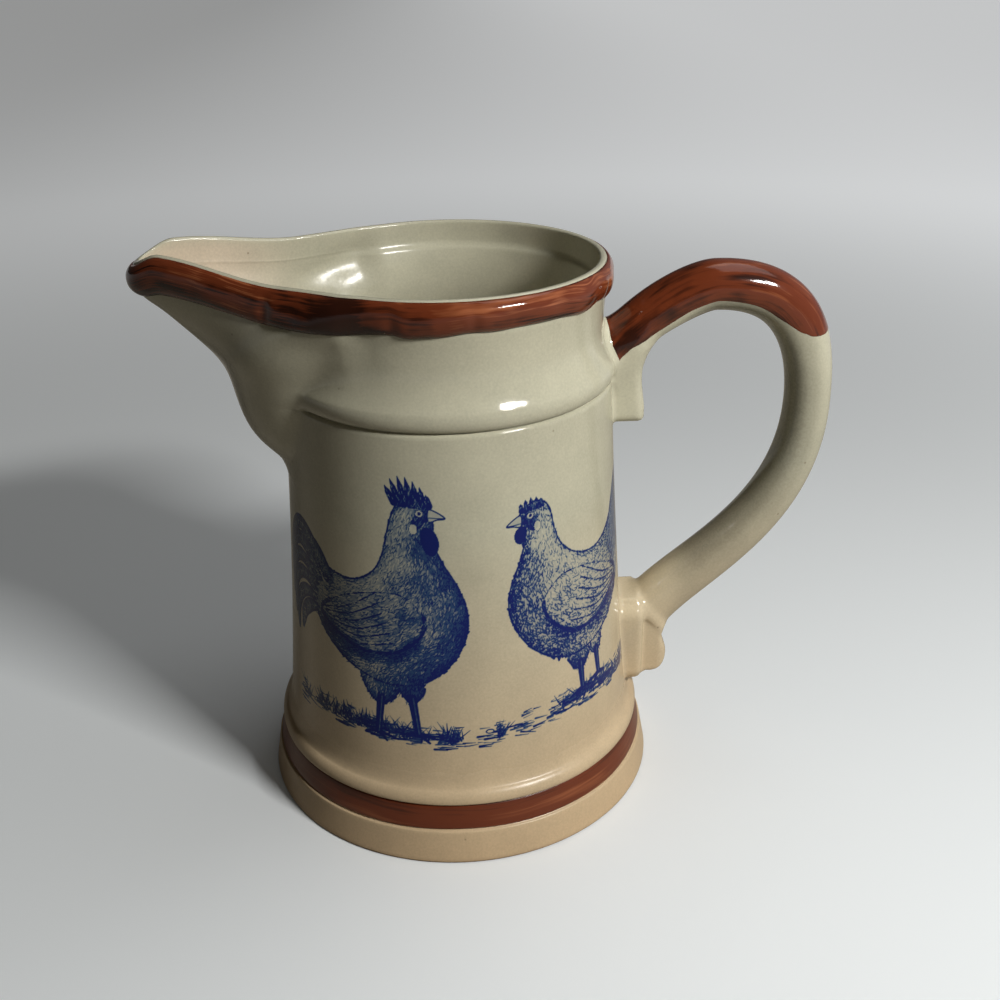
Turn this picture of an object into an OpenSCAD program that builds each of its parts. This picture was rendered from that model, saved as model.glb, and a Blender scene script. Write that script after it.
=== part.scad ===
// Stoneware milk pitcher with a pulled spout, a painted rim and a strap handle.
// Millimetres. The foot rests on z = 0 and the body's axis is Z. The handle points to +X, the spout to -X.

/* [Body] */
// Height of the rim above the table
rim_h = 178; // [172:1:190]
// Height of the collar, from the groove over the barrel to the rim
collar_h = 38; // [34:1:44]
// Diameter of the barrel just under the groove
shoulder_d = 103.2; // [98:0.2:110]
// Diameter of the barrel where it stands on the foot
barrel_low_d = 118; // [112:1:122]
// Thickness of the body's wall
wall = 4.5; // [3.6:0.1:5.4]
// Depth of the groove under the shoulder bead
groove_depth = 1.2; // [0.6:0.1:1.8]
// Height of the groove
groove_w = 0.8; // [0.4:0.1:1.4]

/* [Foot] */
// Diameter of the foot on the table
foot_d = 132.4; // [126:0.4:140]
// Height of the foot
foot_h = 26; // [24:0.5:30]
// Thickness of the pitcher's floor
floor_t = 6; // [4:0.5:8]
// Depth of the hollow under the foot
recess_h = 2.5; // [1.5:0.5:3.5]
// Width of the ring that the foot stands on
rest_w = 9; // [6:0.5:12]
// Height of the painted stripe's lower edge
stripe_low = 11; // [9:0.5:12]
// Width of the painted stripe
stripe_w = 8.8; // [6:0.2:9]

/* [Collar] */
// Diameter over the shoulder bead
bead_d = 105.4; // [102:0.2:108]
// Height of the shoulder bead
bead_w = 7; // [5:0.2:8]
// Diameter of the collar's waist
waist_d = 97; // [94:0.5:98]
// Depth of the waist below the rim
waist_drop = 20; // [17:0.5:23]
// Diameter of the collar's wall at the rim
lip_d = 98.6; // [98:0.2:102]
// Thickness of the wall at the rim
lip_t = 2.4; // [1.8:0.1:3]

/* [Rim roll] */
// Height of the painted roll round the mouth
roll_h = 10; // [9:0.5:12]
// How far the roll stands out from the wall
roll_t = 2.5; // [1.5:0.1:3.5]

/* [Spout] */
// Distance from the axis to the tip of the spout's wall
spout_reach = 93; // [86:1:100]
// Depth below the rim at which the spout leaves the barrel
spout_drop = 64; // [58:1:70]
// Radius of the spout's nose at the rim
nose_r = 11; // [8:0.5:13]
// Radius of the spout's nose where it leaves the barrel
throat_r = 17; // [13:0.5:20]
// How far the spout's lip rises above the rim
spout_rise = 5; // [2:0.5:8]
// How far the very tip dips again
tip_drop = 4.5; // [2:0.5:6]

/* [Handle] */
// Depth below the rim of the top of the handle's middle line
handle_top_drop = 11.4; // [9:0.2:16]
// Distance from the axis to the top of the handle
handle_top_x = 83.6; // [80:0.2:88]
// Distance from the axis to the handle's farthest middle point
handle_x = 115.6; // [110:0.2:122]
// Depth below the rim of the handle's farthest point
handle_far_drop = 50.4; // [44:0.2:56]
// Depth below the rim at which the handle leaves the collar
handle_up_drop = 29; // [27:0.5:31]
// Height above the pad's bottom at which the handle meets its lower root
handle_low_rise = 25; // [22:0.5:28]
// Width of the handle
handle_w = 17; // [14:0.5:20]
// Thickness of the handle at its top
handle_t = 16; // [13:0.2:18]

/* [Handle roots] */
// Thickness of the tail under the upper root
tail_t = 10; // [8:0.5:12]
// Length of the tail below the groove
tail_long = 16; // [12:0.5:22]
// Width of the pad that the lower root stands on
pad_w = 24; // [20:0.5:28]
// Thickness of the pad
pad_t = 6.2; // [4.5:0.1:8]
// Height of the pad
pad_tall = 30; // [27:0.5:32]
// Gap between the foot and the pad
pad_rise = 2.5; // [1.5:0.5:6]
// Radius of the scroll under the lower root
scroll_r = 6.4; // [5:0.2:8]

/* [Paint] */
// Thickness of the brushed slip
paint_t = 0.4; // [0.2:0.1:0.6]
// Share of the upper handle that is painted
painted_share = 0.66; // [0.4:0.02:0.9]

/* [Hidden] */

cream = [0.80, 0.76, 0.66];
warm_cream = [0.76, 0.70, 0.58];
brown = [0.45, 0.20, 0.12];
dark_brown = [0.36, 0.13, 0.09];

// Gap left for the clay slip between two pieces that are stuck together
slip = 0.1;
// How far a cut runs past what it cuts
overrun = 1;

shoulder_h = rim_h - collar_h;
waist_h = rim_h - waist_drop;
spout_low = rim_h - spout_drop;
handle_top = rim_h - handle_top_drop;
handle_far_h = rim_h - handle_far_drop;
handle_up_h = rim_h - handle_up_drop;
tail_low = shoulder_h - tail_long;
pad_low = foot_h + pad_rise;
pad_top = pad_low + pad_tall;
handle_low_h = pad_low + handle_low_rise;

shoulder_r = shoulder_d / 2;
barrel_low_r = barrel_low_d / 2;
foot_r = foot_d / 2;
lip_r = lip_d / 2;
bead_r = bead_d / 2;
waist_r = waist_d / 2;
groove_r = shoulder_r - groove_depth;
roll_low = rim_h - roll_h;

// Smooth step from 0 to 1
function ease(t) = let (c = min(1, max(0, t))) c * c * (3 - 2 * c);

// Points on a circle's arc in the drawing plane
function arc_points(centre, r, from, to, steps) =
    [for (i = [0:steps]) let (a = from + (to - from) * i / steps) centre + r * [cos(a), sin(a)]];

// Slope of a table of [place, value] pairs at pair k
function table_slope(table, k) =
    let (a = max(0, k - 1), b = min(len(table) - 1, k + 1))
    (table[b][1] - table[a][1]) / (table[b][0] - table[a][0]);

// Value at a place, smooth through every pair of the table
function smooth_at(place, table) =
    let (below = [for (i = [0:len(table) - 2]) if (table[i][0] <= place) i],
         k = len(below) > 0 ? below[len(below) - 1] : 0,
         span = table[k + 1][0] - table[k][0],
         t = min(1, max(0, (place - table[k][0]) / span)),
         rise = t * t * (3 - 2 * t))
    table[k][1] * (1 - rise) + table[k + 1][1] * rise
        + span * t * (1 - t) * (1 - t) * table_slope(table, k)
        - span * t * t * (1 - t) * table_slope(table, k + 1);

// Radius of an outline of [radius, height] points at a height
function radius_at(outline, h) = lookup(h, [for (p = outline) [p[1], p[0]]]);

// Cubic curve through four control points, and its direction
function curve_at(p, t) =
    pow(1 - t, 3) * p[0] + 3 * t * pow(1 - t, 2) * p[1] + 3 * t * t * (1 - t) * p[2] + pow(t, 3) * p[3];
function curve_along(p, t) =
    let (d = pow(1 - t, 2) * (p[1] - p[0]) + 2 * t * (1 - t) * (p[2] - p[1]) + t * t * (p[3] - p[2]))
    d / norm(d);

// Two triangles between neighbours a, b of one ring and c, d of the next
function two_triangles(a, b, c, d) = [[a, b, c], [b, d, c]];

// A closed solid between rings of points that run anticlockwise as seen against the path.
// A fan or strip closes its two ends, and a loop has none.
module skin(rings, ends = "fan") {
    size = len(rings[0]);
    count = len(rings);
    last = (count - 1) * size;
    half = size / 2;
    sides = [for (i = [0:ends == "loop" ? count - 1 : count - 2], j = [0:size - 1])
        let (next = (i + 1) % count, k = (j + 1) % size)
        each two_triangles(i * size + j, next * size + j, i * size + k, next * size + k)];
    fan = [for (j = [1:size - 2]) each [[0, j, j + 1], [last, last + j + 1, last + j]]];
    strip = [for (j = [0:half - 2])
        let (far = size - 1 - j)
        each [[j, j + 1, far], [j + 1, far - 1, far],
              [last + j + 1, last + j, last + far], [last + j + 1, last + far, last + far - 1]]];
    polyhedron(
        points = [for (ring = rings) each ring],
        faces = concat(sides, ends == "loop" ? [] : ends == "fan" ? fan : strip),
        convexity = 6);
}

// Barrel: a tapered wall that opens towards the foot
barrel_steps = 12;
barrel_curve_share = 0.5;
shoulder_round = 1.4;
barrel_top = shoulder_h;
barrel_round_h = barrel_top - shoulder_round;
function barrel_radius(h) =
    let (down = (barrel_round_h - h) / (barrel_round_h - foot_h),
         bend = (1 - barrel_curve_share) * down + barrel_curve_share * down * down)
    shoulder_r + (barrel_low_r - shoulder_r) * bend;
barrel_outline = concat(
    [for (i = [0:barrel_steps])
        let (h = foot_h + (barrel_round_h - foot_h) * i / barrel_steps) [barrel_radius(h), h]],
    [[shoulder_r - groove_depth * 0.3, barrel_top - shoulder_round * 0.4], [groove_r, barrel_top]]);

// Collar: groove, shoulder bead, waist and the straight wall behind the roll
bead_half = bead_w / 2;
bead_mid_h = shoulder_h + groove_w + bead_half;
bead_bulge = bead_r - groove_r;
bead_steps = 8;
waist_steps = 5;
bead_top_share = 0.72;
bead_from = -86;
bead_power = 0.8;
function bead_point(a) = [groove_r + bead_bulge * pow(cos(a), bead_power), bead_mid_h + bead_half * sin(a)];
bead_end = bead_point(asin(bead_top_share));
collar_outline = concat(
    [[groove_r, shoulder_h]],
    [for (i = [0:bead_steps]) bead_point(bead_from + (asin(bead_top_share) - bead_from) * i / bead_steps)],
    [for (i = [1:waist_steps])
        let (t = i / waist_steps, h = bead_end[1] + (waist_h - bead_end[1]) * t)
        [waist_r + (bead_end[0] - waist_r) * (1 - t) * (1 - t), h]],
    [for (i = [1:waist_steps])
        let (t = i / waist_steps)
        [waist_r + (lip_r - waist_r) * t * t, waist_h + (roll_low - waist_h) * t]],
    [[lip_r, rim_h]]);

// Inside of the body, level with the outside
ledge_h = 7;
ledge_w = 1.2;
lip_inner_r = lip_r - lip_t;
inner_steps = 6;
lip_round = 0.8;
inner_outline = concat(
    [for (p = barrel_outline) if (p[1] <= barrel_round_h) [p[0] - wall, p[1]]],
    [for (i = [1:inner_steps])
        let (t = i / inner_steps)
        [waist_r - wall + (shoulder_r - waist_r) * (1 - ease(t)),
         barrel_round_h + (waist_h - barrel_round_h) * t]],
    [for (i = [1:inner_steps])
        let (t = i / inner_steps)
        [waist_r - wall + (lip_inner_r - ledge_w - waist_r + wall) * t * t,
         waist_h + (rim_h - ledge_h - ledge_w - waist_h) * t]],
    [[lip_inner_r, rim_h - ledge_h], [lip_inner_r, rim_h - lip_round],
     [lip_inner_r + lip_round, rim_h]]);

body_outline = concat(
    [for (p = barrel_outline) if (p[1] < barrel_top) p],
    collar_outline);

// Spout: each level is the outline round a root circle and a nose circle, melted into the collar.
// Shares of the height from spout_low to the rim against shares of what each row names.
reach_shares = [[0, -0.01], [0.04, 0.065], [0.1, 0.172], [0.18, 0.28], [0.33, 0.363], [0.5, 0.422],
                [0.64, 0.576], [0.72, 0.736], [0.8, 0.9], [0.87, 0.98], [0.94, 1], [1, 1]];
root_width_shares = [[0, 0.36], [0.05, 0.39], [0.21, 0.48], [0.44, 0.60], [0.64, 0.67], [0.77, 0.72],
                     [0.87, 0.84], [0.95, 0.96], [1, 1]];
root_place_shares = [[0, 0.94], [0.21, 0.90], [0.44, 0.83], [0.64, 0.76], [0.77, 0.66], [0.87, 0.36],
                     [0.95, 0.10], [1, 0]];
fold_soft = 2.2;
wedge_half = 65;
wedge_fade = 12;
wedge_steps = 24;
wedge_crowding = 1.6;
spout_run_in = 2;
spout_cut_h = spout_low - spout_run_in;
gullet_lift = 3;

function spout_share(h) = (h - spout_low) / (rim_h - spout_low);
function spout_span(h, inset) =
    shoulder_r + (spout_reach - shoulder_r) * smooth_at(spout_share(h), reach_shares) - inset;

// Distance from the axis to a circle on the spout's middle line, in a direction off that line
function circle_reach(place, r, a) = place * cos(a) + sqrt(max(0, r * r - pow(place * sin(a), 2)));

// The same for the outline round a root circle and a nose circle
function pair_reach(root, root_r, nose, nose_w, a) =
    nose - root <= root_r - nose_w + slip ? circle_reach(root, root_r, a)
    : let (lean = acos((root_r - nose_w) / (nose - root)),
           nose_edge = atan2(nose_w * sin(lean), nose + nose_w * cos(lean)),
           root_edge = atan2(root_r * sin(lean), root + root_r * cos(lean)),
           off = abs(a))
      off <= nose_edge ? circle_reach(nose, nose_w, a)
      : off <= root_edge ? (root * cos(lean) + root_r) / cos(off - lean)
      : circle_reach(root, root_r, a);

function beak_reach(h, a, inset) =
    let (s = spout_share(h),
         lift = gullet_lift * max(0, inset - lip_t) / (wall - lip_t),
         span = spout_span(max(spout_cut_h, h - lift), inset),
         root_r = lip_r * smooth_at(s, root_width_shares) - inset,
         root = min(lip_r * smooth_at(s, root_place_shares), span - root_r),
         nose_w = min(root_r, throat_r + (nose_r - throat_r) * ease(s) - inset))
    pair_reach(root, root_r, span - nose_w, nose_w, a);

// Radius of the spout's wall at a level and a direction off the spout's middle line
function spout_radius(h, a, outline, inset) =
    let (body = radius_at(outline, h),
         beak = beak_reach(h, a, inset),
         melted = (body + beak + sqrt(pow(body - beak, 2) + fold_soft * fold_soft)) / 2,
         fade = ease((wedge_half - abs(a)) / wedge_fade))
    body + (melted - body) * fade * ease((h - spout_cut_h) / spout_run_in);

// The lip rises towards the spout and dips at its tip
rise_from_share = 0.50;
rise_to_share = 0.90;
dip_from_share = 0.89;
dip_to_share = 1.02;
lift_depth = 8;
lift_from_h = waist_h - lift_depth;
function lip_rise(out) =
    let (s = out / spout_reach)
    spout_rise * ease((s - rise_from_share) / (rise_to_share - rise_from_share))
        - tip_drop * ease((s - dip_from_share) / (dip_to_share - dip_from_share));
function spout_point(h, a, r) =
    let (out = r * cos(a), lift = ease((h - lift_from_h) / (rim_h - lift_from_h)))
    [-out, r * sin(a), h + lip_rise(out) * lift];

wall_thin_h = rim_h - ledge_h - ledge_w;
function wall_at(h) = wall + (lip_t - wall) * ease((h - waist_h) / (wall_thin_h - waist_h));

// Levels of the spout's rows: those of the body's outline above the cut, and some between
spout_rows_low = 8;
row_crowding = 1.15;
spout_levels = concat(
    [for (i = [0:spout_rows_low])
        spout_cut_h + (barrel_round_h - spout_cut_h) * pow(i / spout_rows_low, row_crowding)],
    [for (p = body_outline) if (p[1] > barrel_round_h + slip && p[1] < roll_low - slip) p[1]]);
roll_rows = 5;
roll_levels = [for (i = [0:roll_rows]) roll_low + (rim_h - roll_low) * i / roll_rows];
all_levels = concat(spout_levels, roll_levels);
wedge_angles = [for (i = [-wedge_steps:wedge_steps])
    sign(i) * wedge_half * pow(abs(i) / wedge_steps, wedge_crowding)];

function outer_spout_point(h, a) = spout_point(h, a, spout_radius(h, a, body_outline, 0));
function inner_spout_point(h, a) = spout_point(h, a, spout_radius(h, a, inner_outline, wall_at(h)));

module spout() {
    rings = [for (a = wedge_angles) concat(
        [for (h = all_levels) outer_spout_point(h, a)],
        [for (k = [len(all_levels) - 1:-1:0]) inner_spout_point(all_levels[k], a)])];
    color(cream) skin(rings, ends = "strip");
}

// The part of the body that the spout takes the place of
module spout_wedge() {
    far = spout_reach + overrun;
    translate([0, 0, spout_cut_h])
        linear_extrude(rim_h - spout_cut_h + overrun)
            polygon([[0, 0], far * [-cos(wedge_half), sin(wedge_half)], [-far, far],
                     [-far, -far], far * [-cos(wedge_half), -sin(wedge_half)]]);
}

module barrel() {
    inside = [for (p = inner_outline) if (p[1] <= barrel_round_h) p];
    top_inner = [inside[len(inside) - 1][0], barrel_top];
    color(cream) difference() {
        rotate_extrude($fn = 180)
            polygon(concat(barrel_outline, [top_inner],
                           [for (i = [len(inside) - 1:-1:0]) inside[i]]));
        spout_wedge();
    }
}

module collar() {
    inside = [for (p = inner_outline) if (p[1] > barrel_top) p];
    low_inner = [shoulder_r - wall, barrel_top];
    color(cream) difference() {
        rotate_extrude($fn = 180)
            polygon(concat(collar_outline, [for (i = [len(inside) - 1:-1:0]) inside[i]], [low_inner]));
        spout_wedge();
    }
}

// Foot: ring on the table, plinth, groove for the stripe, bead and cove, hollow inside
foot_round = 0.8;
plinth_lean = 1.8;
stripe_groove = 0.9;
stripe_top = stripe_low + stripe_w;
plinth_top_r = foot_r - plinth_lean;
foot_step = 3.4;
foot_bead_share = 0.645;
bead_lift_share = 0.13;
cove_share = 0.16;
// Least clay between the foot's hollow and the groove for the stripe
hollow_wall = 6.5;
stripe_top_r = barrel_low_r + foot_step;
// The bead and the cove over it share the height that the stripe leaves
over_stripe = foot_h - stripe_top;
foot_bead_r = over_stripe * foot_bead_share;
foot_bead_lift = over_stripe * bead_lift_share;
cove_h = over_stripe * cove_share;
cove_step = 0.2;
floor_top = recess_h + floor_t;
floor_fillet = 7;
floor_run = 1.5;
recess_slope = 1.5;
hollow_r = min(barrel_low_r - wall + floor_run, plinth_top_r - stripe_groove - hollow_wall);
foot_outline = concat(
    [[foot_r - foot_round, 0], [foot_r, foot_round], [plinth_top_r, stripe_low],
     [plinth_top_r - stripe_groove, stripe_low], [stripe_top_r - stripe_groove, stripe_top]],
    arc_points([stripe_top_r - foot_bead_r, stripe_top + foot_bead_lift], foot_bead_r, -10, 60, 6),
    [[barrel_low_r + cove_step, foot_h - cove_h], [barrel_low_r, foot_h]]);
foot_hollow = concat(
    [[barrel_low_r - wall, foot_h]],
    arc_points([hollow_r - floor_fillet, floor_top + floor_fillet], floor_fillet, 0, -90, 6),
    [[0, floor_top]]);
foot_underside = [[0, recess_h], [foot_r - rest_w - recess_slope, recess_h], [foot_r - rest_w, 0]];

module foot() {
    color(warm_cream) rotate_extrude($fn = 180)
        polygon(concat(foot_outline, foot_hollow, foot_underside));
}

module foot_stripe() {
    low = [plinth_top_r - stripe_groove, stripe_low];
    top = [stripe_top_r - stripe_groove, stripe_top];
    color(dark_brown) rotate_extrude($fn = 180)
        polygon([low, low + [paint_t, 0], top + [paint_t, 0], top]);
}

// Rim roll: a raised band round the whole mouth, seated on the wall's outside
roll_section_shares = [[0.30, 0.06], [0.78, 0.24], [1, 0.47], [0.94, 0.70], [0.62, 0.90], [0.20, 0.985]];
loop_steps = 50;
outside_angles = [for (i = [1:loop_steps - 1]) wedge_half + (360 - 2 * wedge_half) * i / loop_steps];
roll_angles = concat(wedge_angles, outside_angles);

function wall_point(h, a) =
    abs(a) <= wedge_half ? outer_spout_point(h, a) : [-lip_r * cos(a), lip_r * sin(a), h];
// Unit vector out of the wall, level with the table
function wall_out(h, a) =
    let (d = abs(a) < wedge_half ? 0.2 : 0,
         along = d > 0 ? wall_point(h, a + d) - wall_point(h, a - d) : [sin(a), cos(a), 0],
         flat = norm([along[0], along[1]]))
    [-along[1], along[0], 0] / flat;
function roll_point(h, a, out) = wall_point(h, a) + out * wall_out(h, a);

module rim_roll() {
    rings = [for (a = roll_angles) concat(
        [for (s = roll_section_shares)
            roll_point(roll_low + roll_h * s[1], a, slip + (roll_t - slip) * s[0])],
        [for (k = [roll_rows:-1:0]) roll_point(roll_levels[k], a, slip)])];
    color(brown) skin(rings, ends = "loop");
}

// Handle: an oval strap along three curves, its ends shaped to what they stand on.
// Each curve's lead lengths reach from its ends to its control points.
section_points = 20;
root_out = 2.5;
root_rise = 1.5;
root_lead_out = 8;
root_lead_up = 8.5;
top_lead = 6;
top_follow = 23.6;
far_lead = 24.5;
far_follow = 42;
low_lead_out = 13.5;
low_lead_up = 16.5;
low_end_out = 4.3;
low_end_x = barrel_radius(handle_low_h) + pad_t + low_end_out;
up_start = [bead_r + root_out, handle_up_h + root_rise];
strap_top = [handle_top_x, handle_top];
up_curve = [up_start, up_start + [root_lead_out, root_lead_up], strap_top - [top_lead, 0], strap_top];
over_curve = [strap_top, strap_top + [top_follow, 0],
              [handle_x, handle_far_h + far_lead], [handle_x, handle_far_h]];
down_curve = [[handle_x, handle_far_h], [handle_x, handle_far_h - far_follow],
              [low_end_x + low_lead_out, handle_low_h + low_lead_up], [low_end_x, handle_low_h]];
strap_curves = [up_curve, over_curve, down_curve];
up_steps = 9;
over_steps = 12;
down_steps = 14;

// Thickness along the strap: the place counts the curves, so 1 is the top and 2 the farthest point
thick_shares = [[0, 0.86], [0.5, 0.94], [1, 0.96], [1.5, 1.02], [2, 0.89], [3, 1.055]];
back_share = 0.62;
back_curve_share = 1;
face_curve_share = 0.75;
edge_curve_share = 0.92;
function turned_power(c, e) = sign(c) * pow(abs(c), e);
// Place round the section: most of the thickness is in the round back, and the face to the fingers is flatter
function section_at(a, place) =
    let (back = sin(a) > 0, thick = handle_t * smooth_at(place, thick_shares),
         deep = thick * (back ? back_share : 1 - back_share),
         off = deep * turned_power(sin(a), back ? back_curve_share : face_curve_share))
    [handle_w / 2 * turned_power(cos(a), edge_curve_share), off + thick / 2 - thick * back_share];
function strap_point(p, along, s) =
    [p[0] - along[1] * s[1], s[0], p[1] + along[0] * s[1]];
function strap_ring(place, grow, angles) =
    let (k = min(2, floor(place)), p = curve_at(strap_curves[k], place - k),
         along = curve_along(strap_curves[k], place - k))
    [for (a = angles) strap_point(p, along, section_at(a, place) + grow * [cos(a), sin(a)])];
section_angles = [for (i = [0:section_points - 1]) 360 * i / section_points];

// Body surface that the upper root stands on: the bead is the widest part of it
function root_wall(h) = h < bead_mid_h ? bead_r : radius_at(body_outline, h);
function on_wall(y, h, gap) = [sqrt(pow(root_wall(h) + gap, 2) - y * y), y, h];
// The end ring runs back along the strap until it meets the wall
function settle(p, slope, gap, turns) =
    turns == 0 ? on_wall(p[1], p[2], gap)
    : let (w = on_wall(p[1], p[2], gap), along = [w[0], p[1], p[2] + (w[0] - p[0]) * slope])
      settle(along, slope, gap, turns - 1);
root_flare_share = 1.12;
function root_ring(grow, angles, gap) =
    let (along = curve_along(up_curve, 0), p = curve_at(up_curve, 0))
    [for (a = angles)
        let (s = section_at(a, 0) * root_flare_share + grow * [cos(a), sin(a)])
        settle(strap_point(p, along, s), along[1] / along[0], gap, 3)];
function shrink_ring(ring, share, gap) =
    let (mid = [for (q = ring) 1] * ring / len(ring))
    [for (q = ring) let (p = mid + (q - mid) * share) on_wall(p[1], p[2], gap)];

// The lower end is cut on the slant of the lower root's face
low_cut_lean = 40;
low_cut_dir = [sin(low_cut_lean), -cos(low_cut_lean)];
function low_ring(angles) =
    [for (a = angles)
        let (s = section_at(a, 3), p = [low_end_x, handle_low_h] + low_cut_dir * s[1])
        [p[0], s[0], p[1]]];
low_half = handle_t / 2 * smooth_at(3, thick_shares);

module handle() {
    root = root_ring(0, section_angles, slip);
    rings = concat(
        [for (share = [0.08, 0.35, 0.62, 0.84]) shrink_ring(root, share, slip)],
        [root],
        [for (i = [0:up_steps - 1]) strap_ring(i / up_steps, 0, section_angles)],
        [for (i = [0:over_steps - 1]) strap_ring(1 + i / over_steps, 0, section_angles)],
        [for (i = [0:down_steps - 1]) strap_ring(2 + i / down_steps, 0, section_angles)],
        [low_ring(section_angles)]);
    color(warm_cream) skin(rings);
}

// Brushed slip over the back of the handle, with a round brush end
paint_seat = 0.12;
paint_half_angle = 101;
brush_end_angle = 52;
paint_points = 13;
brush_rings = 4;
painted_steps = round(painted_share * over_steps);
function paint_angles(half) = [for (i = [0:paint_points - 1]) 90 - half + 2 * half * i / (paint_points - 1)];
function paint_half_angle_at(i) =
    let (left = painted_steps - i)
    left >= brush_rings ? paint_half_angle
    : brush_end_angle + (paint_half_angle - brush_end_angle) * sqrt(1 - pow(1 - left / brush_rings, 2));
function both_faces(out, in) = concat(out, [for (k = [len(in) - 1:-1:0]) in[k]]);

module handle_paint() {
    full = paint_angles(paint_half_angle);
    out = paint_seat + paint_t;
    rings = concat(
        [both_faces(root_ring(out, full, slip), root_ring(paint_seat, full, slip))],
        [for (i = [0:up_steps - 1]) let (place = i / up_steps)
            both_faces(strap_ring(place, out, full), strap_ring(place, paint_seat, full))],
        [for (i = [0:painted_steps])
            let (place = 1 + i / over_steps, part = paint_angles(paint_half_angle_at(i)))
            both_faces(strap_ring(place, out, part), strap_ring(place, paint_seat, part))]);
    color(brown) skin(rings, ends = "strip");
}

// Outside of the body, for cutting what stands on it
module body_outside() {
    rotate_extrude($fn = 180)
        polygon(concat([[0, foot_h]], [for (p = body_outline) p + [slip, 0]], [[0, rim_h]]));
}

// Outline in the X and Z plane, made as wide as y on both sides of the middle
module across(width) {
    translate([0, width / 2, 0]) rotate([90, 0, 0]) linear_extrude(width) children();
}

// Rectangle with round corners, centred on the drawing plane's X axis
module round_plate(length, width, r) {
    translate([0, -width / 2 + r]) square([length, width - 2 * r]);
    translate([0, -width / 2]) square([length - r, width]);
    translate([length - r, -width / 2 + r]) circle(r, $fn = 48);
    translate([length - r, width / 2 - r]) circle(r, $fn = 48);
}

// Tail that runs down the wall from the upper root and ends in a flat bottom
tail_inset = 1;
tail_w = handle_w - 2 * tail_inset;
tail_hollow_share = 0.45;
tail_round = 3;
tail_out = shoulder_r + tail_t;
tail_straight = 6;
root_low_point = root_ring(0, [270], slip)[0];
strap_low_point = strap_ring(0, 0, [270])[0];
tail_corner = [strap_low_point[0], strap_low_point[2] - slip];
tail_outline = [
    [0, tail_low], [tail_out, tail_low], [tail_out, tail_low + tail_straight],
    [tail_out + (tail_corner[0] - tail_out) * tail_hollow_share,
     (tail_low + tail_straight + tail_corner[1]) / 2],
    tail_corner, [root_low_point[0], root_low_point[2] - slip], [0, root_low_point[2] - slip]];

module upper_root_tail() {
    color(cream) difference() {
        intersection() {
            across(tail_w) polygon(tail_outline);
            translate([0, 0, tail_low]) linear_extrude(tail_corner[1] - tail_low)
                round_plate(tail_out, tail_w, tail_round);
        }
        body_outside();
    }
}

// Pad and scroll that the lower end of the handle stands on
pad_round = 3;
pad_corner = 5;
pad_lean = 1.5;
face_top = [low_end_x - slip, handle_low_h] - low_cut_dir * low_half;
face_low = [low_end_x - slip, handle_low_h] + low_cut_dir * low_half;
scroll_lift = 2;
scroll_out = 0.5;
scroll_h = pad_low + scroll_r + scroll_lift;
scroll_x = face_low[0] - scroll_r + scroll_out;
scroll_round = 4;
notch_in = 1.6;
notch_down = 2.7;
toe = 2;
pad_out = barrel_radius(pad_low) + pad_t - pad_lean;
scroll_outline = concat(
    [[0, face_top[1]], face_top, face_low, face_low - [notch_in, notch_down]],
    arc_points([scroll_x, scroll_h], scroll_r, 40, -100, 10),
    [[pad_out - toe, pad_low], [0, pad_low]]);

module lower_root_pad() {
    color(warm_cream) difference() {
        union() {
            intersection() {
                across(handle_w) polygon(scroll_outline);
                translate([0, 0, pad_low]) linear_extrude(face_top[1] - pad_low)
                    round_plate(scroll_x + scroll_r, handle_w, scroll_round);
            }
            intersection() {
                translate([0, 0, pad_low]) linear_extrude(pad_top - pad_low)
                    round_plate(pad_out, pad_w, pad_round);
                translate([0, 0, (pad_low + pad_top) / 2]) rotate([90, 0, 90])
                    linear_extrude(pad_out + overrun) pad_face();
            }
        }
        body_outside();
    }
}
module pad_face() {
    square([pad_w - 2 * pad_corner, pad_tall], center = true);
    square([pad_w, pad_tall - 2 * pad_corner], center = true);
    for (x = [-1, 1], y = [-1, 1])
        translate([x * (pad_w / 2 - pad_corner), y * (pad_tall / 2 - pad_corner)])
            circle(pad_corner, $fn = 48);
}

foot();
barrel();
collar();
spout();
rim_roll();
handle();
upper_root_tail();
lower_root_pad();
handle_paint();
foot_stripe();
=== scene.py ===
import bpy
import numpy as np
from mathutils import Matrix, Vector


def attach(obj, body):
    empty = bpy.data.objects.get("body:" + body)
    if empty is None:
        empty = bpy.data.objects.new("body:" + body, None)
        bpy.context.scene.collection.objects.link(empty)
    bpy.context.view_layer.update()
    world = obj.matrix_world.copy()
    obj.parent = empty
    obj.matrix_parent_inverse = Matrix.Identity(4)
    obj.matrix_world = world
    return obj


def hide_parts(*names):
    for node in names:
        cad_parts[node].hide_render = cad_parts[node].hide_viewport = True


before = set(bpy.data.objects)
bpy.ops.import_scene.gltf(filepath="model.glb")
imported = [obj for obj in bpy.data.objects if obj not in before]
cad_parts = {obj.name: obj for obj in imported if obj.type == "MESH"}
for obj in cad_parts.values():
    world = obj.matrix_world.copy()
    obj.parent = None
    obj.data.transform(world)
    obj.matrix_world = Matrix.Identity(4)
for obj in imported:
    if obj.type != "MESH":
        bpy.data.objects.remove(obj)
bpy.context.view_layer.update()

mm = 0.001  # everything below is worked out in millimetres and scaled as it goes into a mesh


# Smooth step: 0 below 0, 1 above 1, and 3t^2 - 2t^3 between
def ease(t):
    c = np.clip(t, 0, 1)
    return c * c * (3 - 2 * c)


# Smooth minimum: two values or surfaces run together over a width of about k
def meld(a, b, k):
    h = np.clip(0.5 + 0.5 * (b - a) / k, 0, 1)
    return b * (1 - h) + a * h - k * h * (1 - h)


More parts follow.
